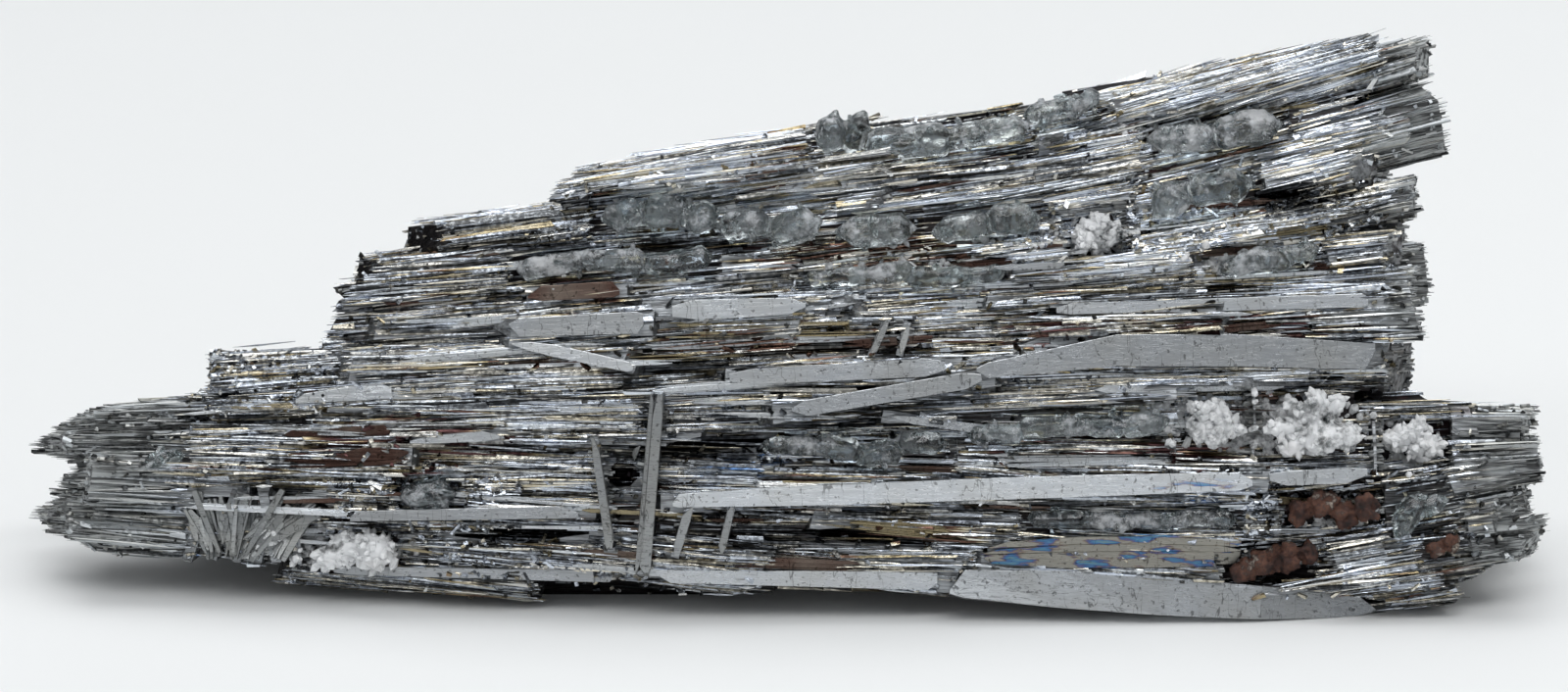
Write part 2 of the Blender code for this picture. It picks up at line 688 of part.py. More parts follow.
def material(name, colour, roughness, metallic=0.0, transmission=0.0, ior=1.5):
    """A Principled BSDF finish."""
    made = bpy.data.materials.new(name)
    made.use_nodes = True
    shader = made.node_tree.nodes["Principled BSDF"]
    shader.inputs["Base Color"].default_value = (*colour, 1.0)
    shader.inputs["Roughness"].default_value = roughness
    shader.inputs["Metallic"].default_value = metallic
    shader.inputs["Transmission Weight"].default_value = transmission
    shader.inputs["IOR"].default_value = ior
    return made


def clear_scene():
    for obj in list(bpy.data.objects):
        bpy.data.objects.remove(obj)


def main():
    clear_scene()
    chance = random.Random(SEED)
    stibnite = material("stibnite", (0.27, 0.28, 0.30), 0.32, metallic=1.0)
    quartz = material("quartz", (0.86, 0.88, 0.89), 0.12, transmission=0.8, ior=1.544)
    rust = material("iron_oxide", (0.24, 0.085, 0.045), 0.85)
    seats = bmesh.new()
    for name, rows in LYING_QUARTZ.items():
        crystals = lying_crystals(rows, lambda u, v: (front(u, v), FACE_OUT))
        quartz_group(name, crystals, row_direction(crystals), seats).data.materials.append(quartz)
    for name, (u, v, reach_u, reach_v, count) in QUARTZ_BURSTS.items():
        crystals = burst_crystals(u, v, reach_u, reach_v, count, chance)
        quartz_group(name, crystals, grain(front(u, v)), seats).data.materials.append(quartz)
    for name, rows in BACK_QUARTZ.items():
        crystals = lying_crystals(rows, lambda u, around: skin(FAN, u, around))
        quartz_group(name, crystals, row_direction(crystals), seats).data.materials.append(quartz)
    for name, lumps in IRON_OXIDE.items():
        iron_oxide(name, lumps, chance, seats).data.materials.append(rust)
    stibnite_spray(seats).data.materials.append(stibnite)


main()
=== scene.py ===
"""Dresses the stibnite crystal spray: fine blades, broad blades, quartz, iron oxide, and a plain studio."""

import json
import math
import random
from collections import namedtuple

import bmesh
import bpy
import numpy as np
from bpy.props import FloatProperty, FloatVectorProperty, IntProperty, PointerProperty
from mathutils import Matrix, Vector, noise
from mathutils.bvhtree import BVHTree

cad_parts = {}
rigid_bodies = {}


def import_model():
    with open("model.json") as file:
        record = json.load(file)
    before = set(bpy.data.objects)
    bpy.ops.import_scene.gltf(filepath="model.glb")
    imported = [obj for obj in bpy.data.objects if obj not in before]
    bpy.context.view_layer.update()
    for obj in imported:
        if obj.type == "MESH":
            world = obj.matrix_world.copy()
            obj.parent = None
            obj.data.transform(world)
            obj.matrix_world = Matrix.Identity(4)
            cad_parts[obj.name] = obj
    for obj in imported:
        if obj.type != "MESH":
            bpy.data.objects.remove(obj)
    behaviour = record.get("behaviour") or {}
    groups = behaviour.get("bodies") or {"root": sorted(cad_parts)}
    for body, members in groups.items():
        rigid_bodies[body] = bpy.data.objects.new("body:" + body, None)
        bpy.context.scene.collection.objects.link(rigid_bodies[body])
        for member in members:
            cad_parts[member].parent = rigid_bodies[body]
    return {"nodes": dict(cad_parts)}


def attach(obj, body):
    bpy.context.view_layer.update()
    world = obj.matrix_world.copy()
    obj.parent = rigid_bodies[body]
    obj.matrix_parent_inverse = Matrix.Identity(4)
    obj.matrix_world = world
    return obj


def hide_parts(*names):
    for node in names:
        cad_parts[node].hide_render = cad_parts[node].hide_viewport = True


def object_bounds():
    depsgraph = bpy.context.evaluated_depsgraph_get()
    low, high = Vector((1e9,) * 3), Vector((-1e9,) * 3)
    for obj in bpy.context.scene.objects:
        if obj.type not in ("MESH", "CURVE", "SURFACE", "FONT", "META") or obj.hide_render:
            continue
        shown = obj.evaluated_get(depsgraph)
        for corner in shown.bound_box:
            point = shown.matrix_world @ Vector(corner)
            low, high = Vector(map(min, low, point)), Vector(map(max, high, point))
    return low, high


bl_info = {
    "name": "Stibnite spray",
    "version": (1, 0, 0),
    "blender": (4, 5, 0),
    "location": "View3D > Sidebar > Spray",
    "description": "Builds the blades, quartz and iron oxide of a stibnite crystal spray",
    "category": "Object",
}

for startup_object in list(bpy.data.objects):
    bpy.data.objects.remove(startup_object)

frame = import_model()
CAD_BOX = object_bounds()
SPRAY = "stibnite_spray"
MM = 0.001
TO_MM = 1000.0
PER_SQUARE_MM = 1.0e6
DOUBLES = 0.000002  # metres: points of a solid that are nearer than this are one

# The broad face leans back, and its own plane is u along the spray, v up the face and w out of it.
# Tables on it are in millimetres.
FACE_LEAN = math.radians(22.0)
DEPTH = 28.0
TIP_RECESS = 4.5  # how far back the narrow end lies
RECESS_START = 10.0  # left of the middle, where the face begins to fall back
RECESS_RUN = 45.0
FACE_OUT = Vector((0.0, -math.cos(FACE_LEAN), math.sin(FACE_LEAN)))
FACE_UP = Vector((0.0, math.sin(FACE_LEAN), math.cos(FACE_LEAN)))
ROOT = Vector((-0.150, 0.0, 0.008))  # metres: the point that all blades radiate from
FAN_REACH = 170.0  # from the root to the broad half: it turns an angle into a distance across the blades
QUARTZ_IOR = 1.544
CAMERA_V = 19.7  # how far up the face the camera aims
PROBE = 0.025  # metres: how far a probe goes into the face to find the solid
FLOOR_CLEAR = 0.00004  # metres: nothing comes nearer than this to the surface it rests on
PAST_SOLIDS = (0.0004, 0.0006, 0.0005)  # metres: how far fine blades may pass the box of the solids
FURTHEST_OUT = 0.0007  # metres: how far broad blades may pass it at the front

# Broad smooth blades: how far proud, then u, v and width at each station.
PALE_BLADES = (
    (
        1.10,
        (
            (11.2, 2.8, 1.4),
            (13.6, 2.6, 2.5),
            (21.2, 2.2, 2.8),
            (31.7, 1.45, 2.6),
            (40.0, 1.05, 1.9),
            (43.5, 0.9, 0.9),
        ),
    ),
    (0.50, ((-8.8, 8.6, 0.9), (0.0, 9.0, 1.4), (20.0, 9.7, 1.6), (34.6, 10.1, 1.2))),
    (0.55, ((-4.2, 17.4, 1.1), (12.7, 18.3, 1.4))),
    (0.65, ((13.4, 17.6, 0.8), (18.4, 19.3, 2.1), (30.0, 19.5, 2.4), (43.4, 18.9, 1.8))),
    (1.10, ((-0.8, 14.9, 1.1), (15.0, 17.6, 1.2))),
    (0.60, ((-20.9, 20.9, 0.2), (-19.2, 21.0, 1.3), (-9.5, 21.4, 1.6))),
    (0.55, ((-9.3, 22.2, 1.4), (0.0, 22.5, 1.3), (2.8, 22.8, 0.3))),
    (0.65, ((-20.6, 20.1, 0.3), (-16.0, 19.3, 0.9), (-10.6, 18.1, 0.7))),
    (0.55, ((-32.4, 7.5, 0.7), (-13.4, 7.9, 0.9))),
    (0.60, ((7.0, 14.7, 0.5), (18.4, 13.2, 0.8))),
    (0.45, ((-10.0, 3.3, 0.9), (11.0, 2.9, 1.3))),
    (0.40, ((-33.0, 3.6, 0.6), (-12.0, 3.2, 0.9))),
    (0.60, ((14.0, 25.2, 0.4), (21.2, 25.5, 0.5))),
    (0.45, ((-35.6, 15.8, 0.6), (-28.0, 16.6, 1.3))),
    (0.40, ((19.0, 22.3, 0.8), (43.0, 23.0, 1.0))),
    (0.50, ((22.0, 16.6, 0.5), (36.0, 16.9, 0.8))),
    (0.40, ((-26.8, 12.9, 0.5), (-20.0, 13.4, 0.9))),
    (0.45, ((34.5, 10.2, 1.0), (43.0, 10.6, 1.2))),
)
GOLD_BLADES = (
    (0.20, ((-9.4, 20.8, 1.3), (7.4, 21.0, 1.3))),
    (0.15, ((-12.0, 19.0, 0.8), (4.0, 19.7, 0.9))),
    (0.35, ((2.2, 7.2, 0.9), (14.9, 6.0, 1.1))),
    (0.30, ((22.0, 24.4, 0.4), (34.0, 24.6, 0.6))),
)
BROWN_BLADES = (
    (0.30, ((-18.4, 23.4, 1.0), (-11.2, 23.8, 1.2))),
    (0.30, ((-32.6, 11.5, 0.8), (-29.5, 11.8, 1.5), (-26.6, 11.9, 0.7))),
    (0.25, ((-36.0, 13.4, 0.5), (-28.0, 13.7, 0.8))),
)
TAN_BLADES = ((0.45, ((13.8, 4.7, 0.8), (17.0, 4.9, 2.2), (25.2, 5.0, 2.3), (33.0, 4.9, 1.8))),)
# Blades grown across the others: how far proud, then u, v and width at each end.
CROSS_BLADES = (
    (1.15, ((-9.0, 16.3, 1.0), (-10.1, 3.2, 1.1))),
    (1.00, ((-13.5, 13.2, 0.5), (-12.3, 5.0, 0.7))),
    (0.95, ((-6.7, 8.3, 0.7), (-7.8, 4.6, 0.6))),
    (0.95, ((-3.7, 8.3, 0.45), (-4.6, 4.6, 0.6))),
    (0.95, ((-5.7, 7.9, 0.2), (-5.9, 6.8, 0.2))),
    (0.90, ((-10.3, 12.8, 0.35), (-10.9, 11.4, 0.4))),
    (0.95, ((7.5, 21.8, 0.45), (6.2, 19.0, 0.5))),
    (0.95, ((8.1, 21.5, 0.35), (7.3, 19.6, 0.4))),
    (0.95, ((8.9, 21.4, 0.45), (8.2, 19.0, 0.5))),
)
# A sheaf of short blades that stand across the others near the narrow end: its least and most u and v.
SHEAF_U = (-43.0, -33.4)
SHEAF_V = (4.0, 9.7)
# Dark open slots, kept clear of most blades: start u, v, end u, v, height.
SLOTS = (
    (-8.4, 12.6, 0.2, 13.0, 1.2),
    (1.2, 6.4, 10.8, 5.7, 1.0),
    (-23.6, 6.2, -13.9, 6.4, 1.0),
    (-12.8, 10.4, -10.3, 10.6, 2.0),
    (-1.0, 16.3, 13.4, 16.6, 0.7),
    (33.0, 30.2, 38.4, 31.2, 0.9),
)
# Crushed places: the middle along the spray and up from the floor, and the reach each way, in millimetres.
CRUSHED = (
    (-17.8, 4.0, 4.6, 1.8),
    (-16.5, 25.2, 3.8, 1.6),
    (-26.0, 8.3, 7.0, 2.0),
    (-38.5, 15.0, 7.0, 2.2),
    (-7.0, 24.4, 3.5, 1.2),
    (12.0, 24.4, 6.0, 1.0),
    (24.0, 26.5, 8.0, 1.6),
    (36.0, 27.0, 5.0, 2.5),
    (7.0, 12.0, 6.0, 1.0),
    (36.0, 8.5, 6.0, 3.0),
)
# Places where blades are turned up to the light and carry a painted highlight, golden, maroon, darkened by
# painted shade in the hollows, or blue: middle u and v, and the reach each way.
TILTED_AND_PAINTED_BRIGHT_PLACES = ((33.0, 36.5, 18.0, 6.0), (-2.0, 30.5, 15.0, 4.5), (24.0, 28.5, 18.0, 4.0))
GOLD_PLACES = ((-1.0, 20.6, 11.0, 1.5), (-14.0, 19.4, 9.0, 1.2), (8.5, 6.6, 8.0, 1.0), (6.0, 26.5, 9.0, 2.0))
MAROON_PLACES = (
    (28.0, 21.3, 17.0, 2.2),
    (25.0, 12.2, 13.0, 1.6),
    (-26.0, 13.2, 10.0, 3.0),
    (-14.6, 23.6, 5.0, 1.0),
)
# Slots and hollows, partly kept clear of blades, where the blades left get painted shade: a darker base
# colour.
HOLLOWS_WITH_PAINTED_SHADE = (
    (-6.5, 12.4, 8.0, 1.1),
    (1.5, 6.2, 11.5, 1.0),
    (-17.7, 6.5, 6.0, 0.6),
    (6.0, 14.8, 7.5, 0.9),
    (-6.5, 18.6, 9.5, 0.9),
    (-7.0, 26.6, 6.5, 0.8),
    (35.5, 30.2, 5.5, 0.9),
    (36.5, 8.2, 3.4, 1.3),
    (5.0, 16.4, 8.0, 0.7),
)
FILM_PLACE = (29.5, 9.8, 4.5, 1.6)
BLUE_PLACES = ((-3.0, 11.6, 5.0, 0.9), (29.5, 9.4, 3.4, 0.8), (-43.0, 4.4, 1.2, 0.5))
# Strewn quartz grains: middle u and v, the reach each way, and their number.
GRAINS = (
    (34.0, 14.3, 9.5, 2.3, 420),
    (45.0, 12.6, 2.6, 2.4, 70),
    (39.5, 7.4, 3.6, 1.6, 45),
    (35.6, 4.6, 3.2, 1.4, 25),
    (-33.5, 5.6, 4.0, 1.8, 90),
    (-29.0, 5.0, 3.0, 1.4, 60),
    (17.0, 28.0, 4.5, 1.4, 60),
    (22.4, 27.6, 2.6, 1.8, 60),
    (32.6, 26.2, 5.0, 1.2, 70),
    (-9.0, 29.6, 3.6, 1.4, 50),
    (8.0, 25.2, 9.0, 0.8, 60),
    (29.0, 35.0, 5.0, 1.4, 50),
)
QUARTZ = sorted(name for name in frame["nodes"] if name.startswith("quartz_"))
WHITE_QUARTZ = [
    "quartz_" + name for name in ("white_ball", "white_cluster", "white_fan", "lobe_cluster", "foot_left")
]
OXIDE = sorted(name for name in frame["nodes"] if name.startswith("iron_oxide_"))


# ---------------------------------------------------------------- settings


class SpraySizes(bpy.types.PropertyGroup):
    """Sizes and numbers of the spray's fine parts."""

    needle_length: FloatProperty(
        name="Needle length", description="Longest fine needle", default=0.019, unit="LENGTH"
    )
    needle_width: FloatProperty(
        name="Needle width", description="Widest fine needle", default=0.00030, unit="LENGTH"
    )
    blade_length: FloatProperty(
        name="Blade length", description="Longest fine blade", default=0.012, unit="LENGTH"
    )
    blade_width: FloatProperty(
        name="Blade width", description="Widest fine blade", default=0.00065, unit="LENGTH"
    )
    fibre_length: FloatProperty(
        name="Fibre length", description="Longest fibre of the broken ends", default=0.0026, unit="LENGTH"
    )
    seed: IntProperty(name="Seed", description="Changes where the fine blades lie", default=7)


class SprayColours(bpy.types.PropertyGroup):
    """Colours of the spray's minerals."""

    lead: FloatVectorProperty(
        name="Lead grey", description="Fresh blade faces", subtype="COLOR", default=(0.66, 0.695, 0.73)
    )
    dull: FloatVectorProperty(
        name="Dull grey", description="Broken fibrous ends", subtype="COLOR", default=(0.46, 0.48, 0.48)
    )
    gold: FloatVectorProperty(
        name="Gold tarnish", description="Thin tarnish", subtype="COLOR", default=(0.42, 0.35, 0.21)
    )
    maroon: FloatVectorProperty(
        name="Maroon tarnish", description="Thick tarnish", subtype="COLOR", default=(0.10, 0.050, 0.050)
    )
    blue: FloatVectorProperty(
        name="Blue tarnish", description="Iridescent spots", subtype="COLOR", default=(0.06, 0.25, 0.62)
    )
    clear: FloatVectorProperty(
        name="Clear quartz", description="Clear quartz", subtype="COLOR", default=(0.74, 0.80, 0.81)
    )
    milky: FloatVectorProperty(
        name="Milky quartz", description="Cloudy quartz", subtype="COLOR", default=(0.78, 0.79, 0.80)
    )
    grey: FloatVectorProperty(
        name="Grey quartz", description="Veils in clear quartz", subtype="COLOR", default=(0.46, 0.48, 0.50)
    )
    rust: FloatVectorProperty(
        name="Iron oxide", description="Earthy crusts", subtype="COLOR", default=(0.055, 0.024, 0.018)
    )


class StudioSettings(bpy.types.PropertyGroup):
    """The studio around the spray."""

    floor: FloatVectorProperty(
        name="Floor", description="Pale floor", subtype="COLOR", default=(0.80, 0.81, 0.81)
    )
    overhead: FloatProperty(
        name="Overhead light", description="Power of the overhead softbox", default=1.4, unit="POWER"
    )
    distance: FloatProperty(
        name="Camera distance", description="Camera to the face", default=0.300, unit="LENGTH"
    )
    lens: FloatProperty(name="Lens", description="Focal length in millimetres", default=96.0)


# ---------------------------------------------------------------- node trees written as expressions


class Field:
    """A socket of a node tree. Arithmetic on it adds the Math nodes that work it out."""

    def __init__(self, plan, socket):
        self.plan = plan
        self.socket = socket

    def __add__(self, other):
        return self.plan.math("ADD", self, other)

    def __sub__(self, other):
        return self.plan.math("SUBTRACT", self, other)

    def __rsub__(self, other):
        return self.plan.math("SUBTRACT", other, self)

    def __mul__(self, other):
        return self.plan.math("MULTIPLY", self, other)

    def __truediv__(self, other):
        return self.plan.math("DIVIDE", self, other)

    def __pow__(self, other):
        return self.plan.math("POWER", self, other)

    __radd__ = __add__
    __rmul__ = __mul__

    def at_most(self, other):
        return self.plan.math("MINIMUM", self, other)

    def at_least(self, other):
        return self.plan.math("MAXIMUM", self, other)

    def step(self, low, high):
        """0 below low and 1 above high, with a smooth rise between."""
        sockets = {"Value": self, "From Min": low, "From Max": high}
        return self.plan.add("ShaderNodeMapRange", {"interpolation_type": "SMOOTHSTEP"}, sockets)


class Plan:
    """Adds nodes to one tree."""

    def __init__(self, tree):
        self.tree = tree

    def node(self, kind, settings=None, sockets=None):
        """Adds a node, gives it its settings, and then values or links to its sockets."""
        node = self.tree.nodes.new(kind)
        for name, value in (settings or {}).items():
            if name == "stops":
                self.set_stops(node.color_ramp, value)
            else:
                setattr(node, name, value)
        for name, value in (sockets or {}).items():
            socket = self.find(node.inputs, name)
            if isinstance(value, Field):
                self.tree.links.new(value.socket, socket)
            else:
                socket.default_value = value
        return node

    def add(self, kind, settings=None, sockets=None, output=None):
        """Adds a node and returns one of its outputs, the first unless output names another."""
        return self.out(self.node(kind, settings, sockets), output)

    def out(self, node, output=None):
        return Field(self, self.find(node.outputs, output))

    @staticmethod
    def find(sockets, name):
        """The socket in use with that name or number, or the first in use."""
        used = [s for s in sockets if s.enabled]
        if name is None:
            return used[0]
        return used[name] if isinstance(name, int) else next(s for s in used if s.name == name)

    @staticmethod
    def set_stops(ramp, stops):
        while len(ramp.elements) < len(stops):
            ramp.elements.new(0.5)
        for element, (place, colour) in zip(ramp.elements, stops):
            element.position = place
            element.color = (*colour, 1.0)

    def math(self, operation, *values):
        return self.add("ShaderNodeMath", {"operation": operation}, dict(enumerate(values)))

    def vector(self, operation, *values):
        return self.add("ShaderNodeVectorMath", {"operation": operation}, dict(enumerate(values)))

    def scaled(self, vector, share):
        """A vector or a colour times a number."""
        return self.add("ShaderNodeVectorMath", {"operation": "SCALE"}, {0: vector, "Scale": share})

    def axes(self, vector):
        """X, Y and Z of a vector."""
        parts = self.node("ShaderNodeSeparateXYZ", {}, {0: vector})
        return [self.out(parts, axis) for axis in "XYZ"]

    def grain_from(self, arm):
        """Millimetres along the blades and then across them twice, at the end of an arm from the root."""
        _, y, z = self.axes(self.vector("NORMALIZE", arm))
        along, across, up = self.vector("LENGTH", arm) * TO_MM, y * FAN_REACH, z * FAN_REACH
        return self.add("ShaderNodeCombineXYZ", {}, {"X": along, "Y": across, "Z": up})

    def mix(self, share, a, b):
        """Colours a and b mixed by share, each a link or an RGB triple."""
        a, b = (c if isinstance(c, Field) else (*c, 1.0) for c in (a, b))
        return self.add("ShaderNodeMix", {"data_type": "RGBA"}, {"Factor": share, "A": a, "B": b})

    def noise(self, vector, scale, detail=2.0, rough=0.5, output="Fac"):
        sockets = {"Vector": vector, "Scale": scale, "Detail": detail, "Roughness": rough}
        return self.add("ShaderNodeTexNoise", {}, sockets, output)


class Finish(Plan):
    """A material, with the fields that its mineral's patterns are drawn from."""

    def __init__(self, name):
        self.material = bpy.data.materials.new(name)
        self.material.use_nodes = True
        super().__init__(self.material.node_tree)
        self.shader = self.tree.nodes["Principled BSDF"]
        self.output = self.tree.nodes["Material Output"]
        self.place = self.add("ShaderNodeTexCoord", {}, {}, "Object")

    def set(self, **sockets):
        """Sets sockets of the Principled shader, by their names with _ for a space."""
        self.fill(self.shader, **sockets)

    def fill(self, shader, **sockets):
        """Sets sockets of a shader, by their names with _ for a space."""
        for name, value in sockets.items():
            socket = shader.inputs[name.replace("_", " ")]
            if isinstance(value, Field):
                self.tree.links.new(value.socket, socket)
            else:
                socket.default_value = value

    def attribute(self, name):
        return self.add("ShaderNodeAttribute", {"attribute_name": name}, {}, "Fac")

    def ramp(self, share, stops):
        """A colour from a number: each stop is its place and its RGB triple."""
        return self.add("ShaderNodeValToRGB", {"stops": stops}, {"Fac": share}, "Color")

    def grain(self):
        """Coordinates in millimetres, along the blades and then across them twice."""
        return self.grain_from(self.vector("SUBTRACT", self.place, tuple(ROOT)))

    def streaks(self, grain, along, across, detail=2.0):
        """Noise drawn out along the blades. along and across are its repeats in each millimetre."""
        stretched = self.vector("MULTIPLY", grain, (along, across, across))
        return self.noise(stretched, 1.0, detail, 0.6)

    def near(self, u, v, reach_u, reach_v):
        """1 at a place on the broad face, falling to 0 at its reach."""
        offset = self.vector("SUBTRACT", self.place, tuple(face(u, v) * MM))
        x, _, z = self.axes(offset)
        along, up = x / (reach_u * MM), z / (reach_v * MM * math.cos(FACE_LEAN))
        return 1.0 - ((along * along + up * up) ** 0.5).step(0.45, 1.0)

    def worn(self):
        """1 at the weathered tips and the broken ends, and 0 between them."""
        x, _, z = self.axes(self.place)
        along = x * TO_MM + (self.noise(self.place, 300.0, 3.0) - 0.5) * 9.0
        tips = 1.0 - along.step(-47.0, -41.0)
        lobe = along.step(47.0, 52.0)
        crown = along.step(41.5, 45.0) * (z * TO_MM).step(14.0, 17.0)
        return tips.at_least(lobe).at_least(crown)

    def out_of_face(self):
        """How far out of the broad face a point is, in millimetres."""
        base = self.vector("SUBTRACT", self.place, (0.0, -DEPTH / 2 * MM, 0.0))
        reach = self.vector("DOT_PRODUCT", base, tuple(FACE_OUT)) * TO_MM
        x, _, _ = self.axes(self.place)
        along = (x * -TO_MM - RECESS_START).at_least(0.0) / RECESS_RUN
        return reach + along * along * TIP_RECESS

    def bump(self, height, strength, distance):
        """A normal from a height."""
        return self.add("ShaderNodeBump", {}, {"Strength": strength, "Distance": distance, "Height": height})


# ---------------------------------------------------------------- places on the spray


def face(u, v, w=0.0):
    """Point u along the spray, v up the leaning face and w out of it, in millimetres."""
    recess = TIP_RECESS * max(0.0, (-u - RECESS_START) / RECESS_RUN) ** 2
    return Vector((u, -DEPTH / 2, 0.0)) + FACE_UP * v + FACE_OUT * (w - recess)


def on_face(points):
    """u, v and w, in millimetres, of an array of points in metres."""
    u = points[..., 0] / MM
    base = points / MM - np.array((0.0, -DEPTH / 2, 0.0))
    recess = TIP_RECESS * np.maximum(0.0, (-u - RECESS_START) / RECESS_RUN) ** 2
    return u, base @ np.array(FACE_UP), base @ np.array(FACE_OUT) + recess


def merged(node):
    """A copy of a node's solid with its doubles merged."""
    bm = bmesh.new()
    bm.from_mesh(frame["nodes"][node].data)
    bmesh.ops.remove_doubles(bm, verts=bm.verts, dist=DOUBLES)
    return bm


SOLID = merged(SPRAY)
SURFACE = BVHTree.FromBMesh(SOLID)


def reach_out(u, v, start=12.0, nothing=-2.0):
    """How far out of the face the solid reaches at u and v, in millimetres, or nothing where it has a gap."""
    hit = SURFACE.ray_cast(face(u, v, start) * MM, -FACE_OUT, PROBE)
    return start - hit[3] / MM if hit[0] is not None else nothing


def rise(value, low, high):
    """0 at low, 1 at high and straight between them."""
    return max(0.0, min(1.0, (value - low) / (high - low)))


def grain_at(point):
    """Direction of the blades at a point in metres."""
    return (Vector(point) - ROOT).normalized()


def face_box(node):
    """Lowest and highest u and v of a node, in millimetres."""
    u, v, _ = on_face(np.array([vert.co for vert in frame["nodes"][node].data.vertices]))
    return u.min(), u.max(), v.min(), v.max()


# ---------------------------------------------------------------- meshes


def shell(bm, rings):
    """Adds a closed shell through rings of points in metres, capped at both ends."""
    made = [[bm.verts.new(p) for p in ring] for ring in rings]
    count = len(made[0])
    for near, far in zip(made, made[1:]):
        for i in range(count):
            j = (i + 1) % count
            bm.faces.new((near[i], near[j], far[j], far[i]))
    bm.faces.new(made[0][::-1])
    bm.faces.new(made[-1])


def link(name, data):
    """An object of a mesh, a light or a camera, in the scene."""
    made = bpy.data.objects.new(name, data)
    bpy.context.scene.collection.objects.link(made)
    return made


def object_of(bm, name, material=None):
    """Makes an object of a bmesh, with its faces pointing out."""
    bmesh.ops.recalc_face_normals(bm, faces=bm.faces)
    mesh = bpy.data.meshes.new(name)
    bm.to_mesh(mesh)
    bm.free()
    if material:
        mesh.materials.append(material)
    return link(name, mesh)


def settle_on_spray(made):
    """Lets a piece ride on the spray."""
    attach(made, "root")


# A blade to scatter: its object, the points of a ring, and its rings.
Blade = namedtuple("Blade", "shape ring rings")


def unit_blade(name, profile, stations):
    """A blade of length, width and thickness 1. A station is a place along it, its scale, and its slant."""
    bm = bmesh.new()
    rings = []
    for at, scale, slant in stations:
        rings.append([Vector((at + slant * a, a * scale, b * scale)) for a, b in profile])
    shell(bm, rings)
    made = object_of(bm, name)
    made.hide_render = True
    return Blade(made, len(profile), len(stations))


# ---------------------------------------------------------------- scattered blades

BLADE_INPUTS = {
    "Geometry": ("Geometry",),
    "Object": ("Blade",),
    "Material": ("Material",),
    "Float": ("Density", "Length", "Width", "Thickness", "Sunk", "Proud", "Sway", "Roll", "Wander"),
    "Vector": ("Root",),
    "Int": ("Seed",),
}


